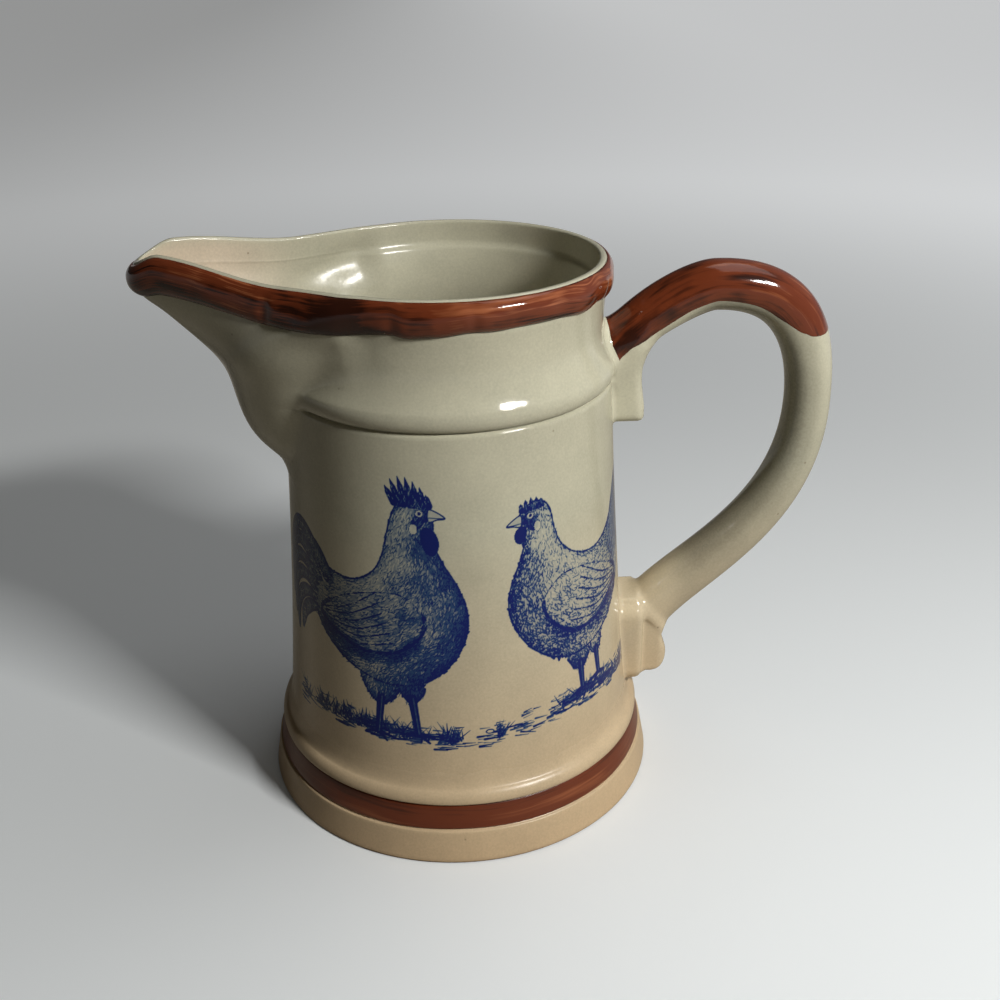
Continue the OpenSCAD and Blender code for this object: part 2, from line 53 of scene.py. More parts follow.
# Hermite curve through (place, value) pairs, its slope at a pair taken from the pairs on both sides
def smoothTable(place, table):
    xs, ys = np.asarray(table, float).T
    last = len(xs) - 1
    before, after = np.maximum(np.arange(last + 1) - 1, 0), np.minimum(np.arange(last + 1) + 1, last)
    slope = (ys[after] - ys[before]) / (xs[after] - xs[before])
    k = np.clip(np.searchsorted(xs, place, side="right") - 1, 0, last - 1)
    span = xs[k + 1] - xs[k]
    t = np.clip((place - xs[k]) / span, 0, 1)
    rise = t * t * (3 - 2 * t)
    bend = span * t * (1 - t) * ((1 - t) * slope[k] - t * slope[k + 1])
    return ys[k] * (1 - rise) + ys[k + 1] * rise + bend


# Puts points (n, 3) in millimetres and faces into a new object that rides on the pitcher's one body
def makePiece(name, points, faces, caps=()):
    mesh = bpy.data.meshes.new(name)
    allFaces = np.asarray(faces).tolist() + np.asarray(caps, int).tolist()
    mesh.from_pydata((np.asarray(points, float) * mm).tolist(), [], allFaces)
    mesh.polygons.foreach_set("use_smooth", np.ones(len(mesh.polygons), bool))
    mesh.update()
    piece = bpy.data.objects.new(name, mesh)
    bpy.context.scene.collection.objects.link(piece)
    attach(piece, "root")
    return piece


# Quads of a grid whose points are stored row by row; either way round may be closed
def gridFaces(rows, columns, closeRows=False, closeColumns=False):
    i = np.arange(rows if closeRows else rows - 1)[:, None]
    j = np.arange(columns if closeColumns else columns - 1)[None, :]
    down, side = (i + 1) % rows, (j + 1) % columns
    corners = [i * columns + j, i * columns + side, down * columns + side, down * columns + j]
    return np.stack(corners, -1).reshape(-1, 4)


# One number for each point, which a material can read by name
def addValue(piece, name, values):
    layer = piece.data.attributes.new(name, "FLOAT", "POINT")
    layer.data.foreach_set("value", np.asarray(values, np.float32).ravel())


# body
body = {
    "rimHeight": 178.0, "collarHeight": 38.0, "shoulderRadius": 51.6, "barrelFootRadius": 59.0, "wall": 4.5,
    "grooveDepth": 1.2, "grooveHeight": 0.8, "beadRadius": 52.7, "beadHeight": 7.0, "barrelEdge": 1.4,
    "footRadius": 66.2, "footHeight": 26.0, "floor": 6.0, "recess": 2.5, "restWidth": 9.0, "floorCorner": 5.5,
    "stripeLow": 11.0, "stripeHeight": 8.8, "stripeDepth": 0.9, "stripeOverhang": 3.4, "plinthLean": 1.8,
    "plinthRound": 0.8, "restRound": 0.5, "footBeadRadius": 4.0,
    "waistRadius": 48.5, "waistDrop": 20.0, "lipRadius": 49.3, "lipWall": 2.4, "rollHeight": 10.0,
    "lipRound": 1.0, "lipInnerRound": 0.9, "ledge": 1.2, "ledgeDrop": 7.0,
    "spoutReach": 93.0, "spoutDrop": 64.0, "noseRadius": 11.0, "throatRadius": 17.0, "lipRise": 5.0,
    "tipDrop": 4.5,
    "foldSoft": 2.2, "foldMiddle": 5.5, "tableSoft": 0.07, "rootSoft": 6.0,  # how softly the spout is joined
    "wedgeHalf": 65.0, "wedgeFade": 12.0,  # degrees off the spout's line that it reaches, and fades out over
    "gulletLift": 3.0,
    "unevenness": 0.10,  # how far the hand-finished wall wanders, in millimetres
    "roundBelow": 30.0,  # the foot below this height is truly round
    "middleRadius": 12.0, "floorMiddle": 10.0,  # the recess and the floor end in a fan of faces inside these
}
# Shares by height up the spout: of its reach, and of the lip's radius for its root's width and place
reachShares = [[0, -0.01], [0.04, 0.065], [0.1, 0.172], [0.18, 0.28], [0.33, 0.363], [0.5, 0.422],
               [0.64, 0.576], [0.72, 0.736], [0.8, 0.9], [0.87, 0.98], [0.94, 1], [1, 1]]
rootWidthShares = [[0, 0.36], [0.05, 0.39], [0.21, 0.48], [0.44, 0.60], [0.64, 0.67], [0.77, 0.72],
                   [0.87, 0.84], [0.95, 0.96], [1, 1]]
rootPlaceShares = [[0, 0.94], [0.21, 0.90], [0.44, 0.83], [0.64, 0.76], [0.77, 0.66], [0.87, 0.36],
                   [0.95, 0.10], [1, 0]]
rimHeight = body["rimHeight"]
shoulderHeight = rimHeight - body["collarHeight"]
barrelTop = shoulderHeight - body["barrelEdge"]
waistHeight = rimHeight - body["waistDrop"]
spoutLow = rimHeight - body["spoutDrop"]
grooveRadius = body["shoulderRadius"] - body["grooveDepth"]
lipRadius, lipInner = body["lipRadius"], body["lipRadius"] - body["lipWall"]
rollLow = rimHeight - body["rollHeight"]
restInner = body["footRadius"] - body["restWidth"]
plinthTop = body["footRadius"] - body["plinthLean"]
stripeTopRadius = body["barrelFootRadius"] + body["stripeOverhang"]
stripeTop = body["stripeLow"] + body["stripeHeight"]


# Barrel radius: from the shoulder down it widens by half a straight line and half a parabola
def barrelRadius(h):
    down = (barrelTop - h) / (barrelTop - body["footHeight"])
    taper = body["barrelFootRadius"] - body["shoulderRadius"]
    return body["shoulderRadius"] + taper * 0.5 * (down + down * down)


# Points on a circle's arc in the profile's plane, angles in degrees
def arcPoints(r, h, radius, start, stop, steps):
    a = np.radians(np.linspace(start, stop, steps))
    return np.c_[r + radius * np.cos(a), h + radius * np.sin(a)]


# Straight run of profile points without its first
def runPoints(p, q, steps):
    t = np.linspace(0, 1, steps + 1)[1:, None]
    return np.asarray(p) * (1 - t) + np.asarray(q) * t


# Quadratic curve from p to q pulled towards the corner
def smoothCorner(p, corner, q, steps):
    t = np.linspace(0, 1, steps)[:, None]
    return (1 - t) ** 2 * np.asarray(p) + 2 * t * (1 - t) * np.asarray(corner) + t * t * np.asarray(q)


# Outside profile of the foot as (radius, height): recess, ring to stand on, plinth, stripe groove and bead
def footProfile():
    foot, low, middle, recess = body["footRadius"], body["stripeLow"], body["middleRadius"], body["recess"]
    small, large, beadRadius = body["restRound"], body["plinthRound"], body["footBeadRadius"]
    ringInner = restInner - 1.1
    under = np.vstack([[[middle, recess]], runPoints([middle, recess], [restInner - 2.6, recess], 5),
                       arcPoints(ringInner, small, small, 200, 270, 5)])
    ring = np.vstack([runPoints([ringInner, 0], [foot - large, 0], 5),
                      arcPoints(foot - large, large, large, -75, 0, 6),
                      runPoints([foot, large], [plinthTop, low - 0.4], 10)])
    # The groove's edges are softened by about a tenth of a millimetre
    grooveLow, grooveHigh = plinthTop - body["stripeDepth"], stripeTopRadius - body["stripeDepth"]
    groove = np.vstack([[[plinthTop - 0.14, low - 0.1], [plinthTop - 0.5, low], [grooveLow + 0.05, low]],
                        runPoints([grooveLow, low + 0.02], [grooveHigh, stripeTop - 0.02], 8),
                        [[grooveHigh + 0.3, stripeTop]]])
    beadPlace, beadLevel = stripeTopRadius - beadRadius, stripeTop + 0.8
    leave = arcPoints(beadPlace, beadLevel, beadRadius, 60, 60, 1)[0]
    rise = body["roundBelow"] - 1
    bead = np.vstack([arcPoints(beadPlace, beadLevel, beadRadius, -10, 56, 14),
                      smoothCorner(leave, [body["barrelFootRadius"] + 0.25, body["footHeight"] - 0.9],
                                   [barrelRadius(rise), rise], 10)])
    return np.vstack([under, ring, groove, bead])


# Outside profile of the barrel and collar, with groove, shoulder bead and waist, to the rim's outer edge
def wallProfile():
    h = np.linspace(body["roundBelow"], barrelTop, 60)
    barrel = np.c_[barrelRadius(h), h]
    groove = smoothCorner(barrel[-1], [body["shoulderRadius"], shoulderHeight + 0.1],
                          [grooveRadius, shoulderHeight + 0.4], 7)[1:]
    # Bead: a half round whose outer side is flattened, cos to the power 0.8; it ends at 0.72 of its height
    a = np.radians(np.linspace(-80, np.degrees(np.arcsin(0.72)), 18))
    half = body["beadHeight"] / 2
    shoulder = np.c_[grooveRadius + (body["beadRadius"] - grooveRadius) * np.cos(a) ** 0.8,
                     shoulderHeight + body["grooveHeight"] + half + half * np.sin(a)]
    end = shoulder[-1]
    t = np.linspace(0, 1, 13)[1:, None]
    waist = np.hstack([body["waistRadius"] + (end[0] - body["waistRadius"]) * (1 - t) ** 2,
                       end[1] + (waistHeight - end[1]) * t])
    collar = np.hstack([body["waistRadius"] + (lipRadius - body["waistRadius"]) * t * t,
                        waistHeight + (rollLow - waistHeight) * t])
    r = body["lipRound"]
    lip = np.vstack([runPoints([lipRadius, rollLow], [lipRadius, rimHeight - r], 8),
                     arcPoints(lipRadius - r, rimHeight - r, r, 20, 90, crestCount)])
    return np.vstack([barrel, groove, shoulder, waist, collar, lip])


# Inside profile as (radius, height), from the rim's inner edge down to the floor
def insideProfile():
    wall, r = body["wall"], body["lipInnerRound"]
    ledgeTop = rimHeight - body["ledgeDrop"]
    neck, belly = body["waistRadius"] - wall, body["shoulderRadius"] - wall
    rim = np.vstack([arcPoints(lipInner + r, rimHeight - r, r, 100, 180, 6),
                     runPoints([lipInner, rimHeight - r], [lipInner, ledgeTop + 0.5], 5)])
    step = smoothCorner([lipInner, ledgeTop + 0.5], [lipInner - 0.1, ledgeTop - 0.8],
                        [lipInner - body["ledge"], ledgeTop - 1.8], 8)[1:]
    t = np.linspace(1, 0, 14)[1:, None]
    neckPart = np.hstack([neck + (step[-1][0] - neck) * t * t, waistHeight + (step[-1][1] - waistHeight) * t])
    shoulder = np.hstack([neck + (belly - neck) * (1 - ease(t)), barrelTop + (waistHeight - barrelTop) * t])
    h = np.linspace(barrelTop, body["footHeight"], 40)[1:]
    barrel = np.c_[barrelRadius(h) - wall, h]
    floorTop = body["recess"] + body["floor"]
    low = barrel[-1][0]
    corner = low - body["floorCorner"]
    floor = np.vstack([smoothCorner(barrel[-1], [low + 1.3, floorTop + 1.5], [corner, floorTop], 14)[1:],
                       runPoints([corner, floorTop], [body["floorMiddle"], floorTop], 6)])
    return np.vstack([rim, step, neckPart, shoulder, barrel, floor])


# Distance from the axis to a circle that stands on the spout's middle line
def circleReach(place, r, a):
    return place * np.cos(a) + np.sqrt(np.maximum(0, r * r - (place * np.sin(a)) ** 2))


# Distance to the outline pulled round a root circle and a smaller nose circle: the nose, then the straight
# flank that touches both, then the root
def pairReach(root, rootR, nose, noseR, a):
    apart = nose - root > rootR - noseR + 0.1
    lean = np.arccos(np.clip((rootR - noseR) / np.where(apart, nose - root, 1e9), -1, 1))
    noseEdge = np.arctan2(noseR * np.sin(lean), nose + noseR * np.cos(lean))
    rootEdge = np.arctan2(rootR * np.sin(lean), root + rootR * np.cos(lean))
    off = np.abs(a)
    flank = (root * np.cos(lean) + rootR) / np.maximum(np.cos(off - lean), 0.05)
    onRoot = circleReach(root, rootR, a)
    outline = np.where(off <= noseEdge, circleReach(nose, noseR, a), np.where(off <= rootEdge, flank, onRoot))
    return np.where(apart, outline, onRoot)


# A table's value meant over a short run on both sides, which is shorter near the rim
def softTable(place, table):
    reach = body["tableSoft"] * ease((1 - place) / 0.3)
    return sum(smoothTable(place + step * reach, table) for step in (-1, -0.5, 0, 0.5, 1)) / 5


# Wall radius at a height, a direction off the spout's line and a depth under the outside: the pulled spout
# is melted into the round body by a smooth maximum, softest halfway up the collar, and fades out at the sides
def melted(r, h, a, inset):
    start = spoutLow - 2
    share = (h - spoutLow) / body["spoutDrop"]
    lift = body["gulletLift"] * np.clip((inset - body["lipWall"]) / (body["wall"] - body["lipWall"]), 0, 1)
    shareNose = (np.maximum(start, h - lift) - spoutLow) / body["spoutDrop"]
    pull = body["spoutReach"] - body["shoulderRadius"]
    span = body["shoulderRadius"] + pull * softTable(shareNose, reachShares) - inset
    rootR = lipRadius * softTable(share, rootWidthShares) - inset
    root = meld(lipRadius * softTable(share, rootPlaceShares), span - rootR, body["rootSoft"])
    noseR = body["throatRadius"] + (body["noseRadius"] - body["throatRadius"]) * ease(share) - inset
    noseR = np.minimum(rootR, noseR)
    beak = pairReach(root, rootR, span - noseR, noseR, a)
    halfway = ease((h - shoulderHeight - 5) / 14) * ease((rimHeight - 1 - h) / 13)
    fold = body["foldSoft"] + (body["foldMiddle"] + 0.5 * inset) * halfway
    soft = (r + beak + np.sqrt((r - beak) ** 2 + fold ** 2)) / 2
    fade = ease((body["wedgeHalf"] - np.degrees(np.abs(a))) / body["wedgeFade"])
    return r + (soft - r) * fade * ease((h - start) / 2)


# The lip climbs towards the spout and dips again at its very tip
def lipRise(out):
    s = out / body["spoutReach"]
    return body["lipRise"] * ease((s - 0.5) / 0.4) - body["tipDrop"] * ease((s - 0.89) / 0.13)


# Slow waves round and up the wall, at most 1, as a thrown and cast wall has
def wander(h, a):
    return (np.sin(3 * a + 0.031 * h + 0.6) + 0.6 * np.sin(5 * a - 0.047 * h + 2.1)
            + 0.5 * np.sin(2 * a + 0.083 * h) + 0.3 * np.sin(9 * a + 0.11 * h + 1.3)) / 2.4


# How far the wall stands out for its waves, which never lift it over the true shape
def unevenWall(h, a):
    return body["unevenness"] * (wander(h, a) * ease((h - body["roundBelow"]) / 20) - 1)


# Point of the wall: the spout's middle line is -X and the angle grows towards +Y
def wallPoint(r, h, a, inset):
    reach = melted(r, h, a, inset) + unevenWall(h, a)
    out = reach * np.cos(a)
    lift = ease((h - (waistHeight - 8)) / (body["waistDrop"] + 8))
    return np.stack([-out, reach * np.sin(a), h + lipRise(out) * lift], -1)


# How deep under the outside the inner wall runs: the full wall below, thin behind the rim
def wallDepth(h):
    up = (h - waistHeight) / (rimHeight - 8.2 - waistHeight)
    return body["wall"] + (body["lipWall"] - body["wall"]) * ease(up)


# Columns crowd into the spout, where the wall bends most
def wallAngles(inSpout, inRound):
    s = np.linspace(-1, 1, inSpout + 1)[:-1]
    wedge = np.radians(body["wedgeHalf"])
    near = wedge * (0.45 * s + 0.55 * s * np.abs(s))
    return np.concatenate([near, wedge + (2 * np.pi - 2 * wedge) * np.arange(inRound) / inRound])


crestCount = 6  # points of the lip's rounded top, which lies between outside and inside
outside, inside = np.vstack([footProfile(), wallProfile()]), insideProfile()
profile = np.vstack([outside, inside])
behindLip = inside[:, 1] > rimHeight - body["ledgeDrop"] - 0.5
depth = np.concatenate([np.zeros(len(outside) - crestCount), lipRadius - outside[-crestCount:, 0],
                        np.where(behindLip, lipRadius - inside[:, 0], wallDepth(inside[:, 1]))])
angles = wallAngles(130, 150)
radii, heights, angleGrid = np.broadcast_arrays(profile[:, :1], profile[:, 1:], angles)
grid = wallPoint(radii, heights, angleGrid, np.broadcast_to(depth[:, None], radii.shape))
plain = np.stack([-radii * np.cos(angleGrid), radii * np.sin(angleGrid), heights], -1)
plainRows = profile[:, 1] < body["roundBelow"]
grid[plainRows] = plain[plainRows]  # foot and floor are truly round
rows, columns = radii.shape
points = np.vstack([grid.reshape(-1, 3), [[0, 0, profile[0, 1]], [0, 0, profile[-1, 1]]]])
ring, lastRow = np.arange(columns), (rows - 1) * columns
nextOne = (ring + 1) % columns
underFan = np.stack([np.full(columns, rows * columns), ring, nextOne], -1)
floorFan = np.stack([np.full(columns, rows * columns + 1), lastRow + nextOne, lastRow + ring], -1)
faces = gridFaces(rows, columns, closeColumns=True)[:, ::-1]
pitcherBody = makePiece("pitcherBody", points, faces, np.vstack([underFan, floorFan]))


# A value for each row of the body, the same all the way round, and one for the middle of each fan
def addRowValue(name, values, underMiddle=0, floorMiddle=0):
    addValue(pitcherBody, name, np.concatenate([np.repeat(values, columns), [underMiddle, floorMiddle]]))


# The ring that the foot stands on is bare clay
onRing = (np.arange(rows) < len(outside)) & (profile[:, 0] > restInner - 2)
addRowValue("bare", ease((0.9 - profile[:, 1]) / 0.5) * onRing)
# The glaze is a little duller inside, and warmer where the spout's channel is thin
innerRows = ease((np.arange(rows) - len(outside) - 2) / 6)
addRowValue("inner", innerRows, floorMiddle=1)
spoutShare = ease((-grid[..., 0] - 42) / 30) * innerRows[:, None]
addValue(pitcherBody, "spoutWarm", np.concatenate([spoutShare.ravel(), [0, 0]]))
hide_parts("foot", "barrel", "collar", "spout")
print("body", rows, "by", columns, "points")

# rim band
rimBand = {
    "standOut": 2.3, "seat": 0.25, "lumps": 0.16,
    "top": 0.35,  # how far under the lip's crest it starts
    "lowerDark": 0.12, "evenRise": 0.65,  # its paint is darker below this share of its height, lighter above
}
# Height of the band round the rim by degrees off the spout's line, uneven as brushed
bandHeights = [[-180, 9.6], [-163, 10.1], [-150, 8.9], [-142, 9.9], [-130, 8.9], [-113, 8.8], [-106, 9.1],
               [-97, 8.9], [-90, 9.6], [-84, 10.0], [-77, 10.2], [-72, 9.4], [-60, 10.2], [-47, 10.9],
               [-36, 10.7], [-22, 10.2], [-8, 9.9], [0, 9.8], [9, 10.2], [24, 10.4], [38, 9.6], [52, 10.3],
               [66, 9.4], [81, 10.1], [96, 9.2], [112, 9.8], [131, 9.0], [149, 9.7], [165, 9.1], [180, 9.6]]
# Dabs pressed into the band: degrees off the spout's line, depth in millimetres, half width in degrees
bandDents = [[-31, 0.9, 1.6], [-40, 0.35, 2.2], [-56, 0.75, 5.5], [-73, 0.6, 2.2], [-98.5, 0.55, 2.0],
             [-129, 0.4, 3.0], [-158, 0.4, 2.5], [-14, 0.35, 2.0], [12, 0.4, 2.5], [33, 0.6, 2.4],
             [57, 0.4, 3.5], [88, 0.6, 2.5], [117, 0.4, 3.0], [150, 0.5, 2.6]]
# How light the slip lies round the rim, by degrees off the spout's line; the dip near -54 degrees is partly
# darker slip and partly a painted dark reflection in the dent there
bandTonesAndDarkReflection = [[-180, 0.02], [-160, 0.03], [-130, 0.02], [-112, 0.04], [-95, 0.05], [-82, 0.0], [-74, -0.01],
             [-67, -0.05], [-60, -0.16], [-54, -0.22], [-48, -0.18], [-42, -0.07], [-37, -0.05],
             [-31, 0.03], [-20, 0.04], [-6, -0.03], [0, -0.06], [30, 0.0], [60, -0.05], [95, 0.03],
             [130, 0.0], [160, 0.03], [180, 0.02]]
# How strongly the brush's streaks show round the rim
bandBrush = [[-180, 0.7], [-125, 0.6], [-100, 0.35], [-62, 0.3], [-45, 0.5], [-34, 0.9], [0, 0.9],
             [40, 0.8], [70, 0.4], [120, 0.5], [180, 0.7]]
# Half a loop of cross-section: share of the height against share of how far the band stands out
bandSection = [[0, 0.0], [0.05, 0.30], [0.16, 0.66], [0.34, 0.93], [0.55, 1.0], [0.75, 0.86], [0.90, 0.52],
               [0.97, 0.24], [1, 0.0]]
roundAngles = np.radians(65) + np.radians(230) * np.arange(230) / 230
bandAngles = np.sort(np.concatenate([wallAngles(170, 0), roundAngles]))
outerRows, innerRowCount = 25, 7  # rows of the loop over the outside, and back down inside the wall
bandRows = np.concatenate([np.linspace(0, 1, outerRows), np.linspace(1, 0, innerRowCount + 2)[1:-1]])
onOutside = np.arange(len(bandRows))[:, None] < outerRows
degrees = (np.degrees(bandAngles) + 180) % 360 - 180
height = smoothTable(degrees, bandHeights)[None, :]
dent = sum(deep * np.exp(-(((degrees - place + 180) % 360 - 180) / half) ** 2)
           for place, deep, half in bandDents)[None, :]
rise = bandRows[:, None]
level = rimHeight - rimBand["top"] - height * (1 - rise)
bulge = smoothTable(bandRows, bandSection)[:, None]
wave = (np.sin(7 * bandAngles + 2 * rise) + 0.6 * np.sin(17 * bandAngles + 0.7 - 3 * rise)) / 1.6
raised = bulge * (rimBand["standOut"] * (1 + rimBand["lumps"] * wave) - dent * np.clip(1.3 - rise, 0, 1))
standOut = np.where(onOutside, raised, -rimBand["seat"])


# Points of the lip's wall at the band's levels, turned round it by a small angle
def lipPoint(turn):
    r, h, a = np.broadcast_arrays(lipRadius, level, bandAngles[None, :] + turn)
    return wallPoint(r, h, a, np.zeros(level.shape))


onWall = lipPoint(0)
along = lipPoint(0.004) - lipPoint(-0.004)
flat = np.hypot(along[..., 0], along[..., 1])
outward = np.stack([-along[..., 1] / flat, along[..., 0] / flat, 0 * flat], -1)
bandGrid = onWall + outward * standOut[..., None]
bandFaces = gridFaces(len(bandRows), len(bandAngles), closeRows=True, closeColumns=True)[:, ::-1]
rimRoll = makePiece("rimBand", bandGrid.reshape(-1, 3), bandFaces)
# Streaks run both ways from the spout's line to the handle's, so that no seam shows
middleRow = onWall[outerRows // 2]
arcLength = np.concatenate([[0], np.cumsum(np.linalg.norm(np.diff(middleRow, axis=0), axis=1))])
wholeArc = arcLength[-1] + np.linalg.norm(middleRow[-1] - middleRow[0])
fromSpout = arcLength - arcLength[np.abs(degrees).argmin()]
fromSpout = np.abs((fromSpout + wholeArc / 2) % wholeArc - wholeArc / 2)
# The band's tone holds the slip's own tone and, near the spout, a painted dark reflection
tone = smoothTable(degrees, bandTonesAndDarkReflection) + rimBand["lowerDark"] * (rise - rimBand["evenRise"])
bandValues = {"along": fromSpout, "across": height * rise, "wash": tone,
              "brush": smoothTable(degrees, bandBrush)}
for name, values in bandValues.items():
    addValue(rimRoll, name, np.broadcast_to(values, standOut.shape))
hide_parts("rim_roll")
print("rim band", len(rimRoll.data.polygons), "faces")

# foot stripe
footStripe = {
    "thickness": 0.42, "seat": 0.15, "waver": 0.18,
    "lowGap": 0.25, "highGap": 0.2,  # to the groove's edges
    "meanRadius": 62.0,  # the way round is measured here for the streaks
    "brush": 0.35, "lightBelow": 0.06, "upperPaintedShade": 0.11,  # painted shade: its paint is made darker from about the middle up, under the overhanging bead
}
stripeCount = 360
stripeAngles = 2 * np.pi * np.arange(stripeCount) / stripeCount
# A loop of cross-section: shares of the height and of the thickness, then one row in the middle behind
stripeRows = np.array([0, 0.03, 0.1, 0.3, 0.5, 0.7, 0.9, 0.97, 1.0, 0.5])[:, None]
stripeOut = np.array([0, 0.6, 0.95, 1, 1, 1, 0.95, 0.6, 0, 0])[:, None] * footStripe["thickness"]
stripeOut[[0, 8, 9]] = -footStripe["seat"]
waver = footStripe["waver"]
lowWave = waver * (np.sin(4 * stripeAngles + 1) + 0.5 * np.sin(11 * stripeAngles)) / 1.5
low = body["stripeLow"] + footStripe["lowGap"] + lowWave
high = stripeTop - footStripe["highGap"] + 0.5 * waver * np.sin(5 * stripeAngles)
stripeLevel = low + (high - low) * stripeRows
upGroove = (stripeLevel - body["stripeLow"]) / body["stripeHeight"]
grooveBottom = plinthTop * (1 - upGroove) + stripeTopRadius * upGroove - body["stripeDepth"]
stripeRadius = grooveBottom + stripeOut
stripeX, stripeY = -stripeRadius * np.cos(stripeAngles), stripeRadius * np.sin(stripeAngles)
stripeGrid = np.stack([stripeX, stripeY, stripeLevel], -1)
stripeFaces = gridFaces(len(stripeRows), stripeCount, closeRows=True, closeColumns=True)[:, ::-1]
stripePiece = makePiece("footStripe", stripeGrid.reshape(-1, 3), stripeFaces)
stripeValues = {
    "along": np.minimum(stripeAngles, 2 * np.pi - stripeAngles) * footStripe["meanRadius"],
    "across": stripeRows * body["stripeHeight"], "brush": footStripe["brush"],
    # Painted shade on the stripe's upper part, where it lies under the bead
    "wash": footStripe["lightBelow"] - footStripe["upperPaintedShade"] * ease((stripeRows - 0.45) / 0.4),
}
for name, values in stripeValues.items():
    addValue(stripePiece, name, np.broadcast_to(values, stripeLevel.shape))
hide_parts("foot_stripe")
print("foot stripe done")


# print: a farmyard rooster and hen in blue, drawn from the curves below on a flat sheet that is then laid
# round the barrel; the sheet measures the way round at a radius of 55 mm against the height
birdPrint = {
    "radius": 55.0, "degrees": (-166.0, -1.0), "heights": (37.0, 131.0), "pixel": 0.25, "line": 0.30,
    "raise": 8.4,  # from the drawing's heights to those on the barrel
    "lift": 0.012,  # how far the sheet lies over the wall
    "sheets": {"printLeft": (-166, -118), "printMiddle": (-118, -58), "printRight": (-58, -1)},
    "ground": (33.6, 2.6),  # height of the ground on the left, and how much it climbs to the right
    "hatches": 30000,  # places tried for hatching
    "scratch": 0.85,  # how much ink a pale stroke takes away
}
# Curves of each bird as (way round, height) in millimetres; its breast is at 0
rooster = {
    "place": -83.4, "faces": 1, "wash": 0.73, "combWidth": 1.2,
    "body": [[-20, 111], [-22.6, 106], [-24.2, 100], [-25.6, 94.5], [-28, 89.5], [-32, 85.8],
               [-37.5, 83.6], [-43.5, 83.8], [-49, 85.2], [-53.5, 87.2], [-57.5, 84.5], [-58.5, 79.5],
               [-56.5, 72], [-52.5, 65.5], [-47, 59.8], [-40, 55.4], [-32, 52.2], [-24, 50.8], [-15, 52],
               [-8, 56.3], [-2.6, 63], [0, 70.5], [-0.2, 78], [-2.6, 85], [-6, 91], [-8.6, 96.5],
               [-9.6, 101], [-9.3, 105.5], [-10.6, 110], [-14.5, 113]],
    "wing": [[-14.5, 77], [-21, 81.5], [-31, 80.5], [-42, 76.5], [-51, 69.5], [-45, 64.5], [-34.5, 61],
               [-24, 61.5], [-16, 66.5], [-13, 72]],
    "thighs": [[[-35, 57], [-27, 59], [-20.5, 54], [-22, 48], [-25.5, 44.5], [-29.5, 44.5], [-33.5, 49.5]],
               [[-21, 55], [-15, 55], [-13.5, 50], [-16, 46], [-19, 46], [-21.5, 50]]],
    "wattle": [[-11.5, 104], [-8.8, 102.5], [-7.6, 98.5], [-9, 95], [-11.6, 95.6], [-13.2, 99],
                 [-13.2, 102.5]],
    "combTips": [[-24, 116.2], [-22.2, 118.4], [-19.8, 119.4], [-17.4, 119.2], [-15.1, 118], [-13, 116.3],
                 [-11.2, 114]],
    "combBase": [[-21.2, 111.3], [-10.4, 110.6]],
    "beak": [[-10.6, 109.4], [-8.2, 108.8], [-5.6, 106.8], [-8.0, 106.4], [-10.6, 105.8]],
    "eye": [-13.4, 108.2], "lobe": [-15.4, 103.2],
    "shanks": [[[-27.5, 46], [-28.6, 33.4]], [[-17.5, 47], [-15.8, 34.6]]],
    "toes": [[[-28.6, 33.6], [-22.2, 31.8]], [[-28.6, 33.6], [-25.8, 30.6]], [[-28.6, 33.6], [-32.8, 32.4]],
             [[-28.4, 36.5], [-30.6, 35.6]], [[-15.8, 34.8], [-10, 33]], [[-15.8, 34.8], [-12.4, 31.6]],
             [[-15.8, 34.8], [-19.4, 33.4]]],
    "tail": [[[-48, 80], [-54, 88.5], [-62, 93.5], [-69, 91], [-75.5, 81]],
             [[-51, 79], [-58, 86], [-65.5, 88], [-72, 82], [-74.5, 72]],
             [[-53, 77], [-60.5, 82], [-67.5, 81], [-72, 74], [-73, 65.5]],
             [[-54, 74.5], [-61, 77], [-67, 74.5], [-70.5, 67], [-70, 59.5]],
             [[-54, 71.5], [-60, 71.5], [-65, 68], [-67.5, 61.5], [-67, 55]],
             [[-53, 68.5], [-58, 67], [-62, 63], [-63.5, 57]],
             [[-47, 81], [-51, 86.5], [-57, 90.5], [-63, 90]],
             [[-46, 81], [-50, 85], [-55, 87], [-60, 85.5]]],
}
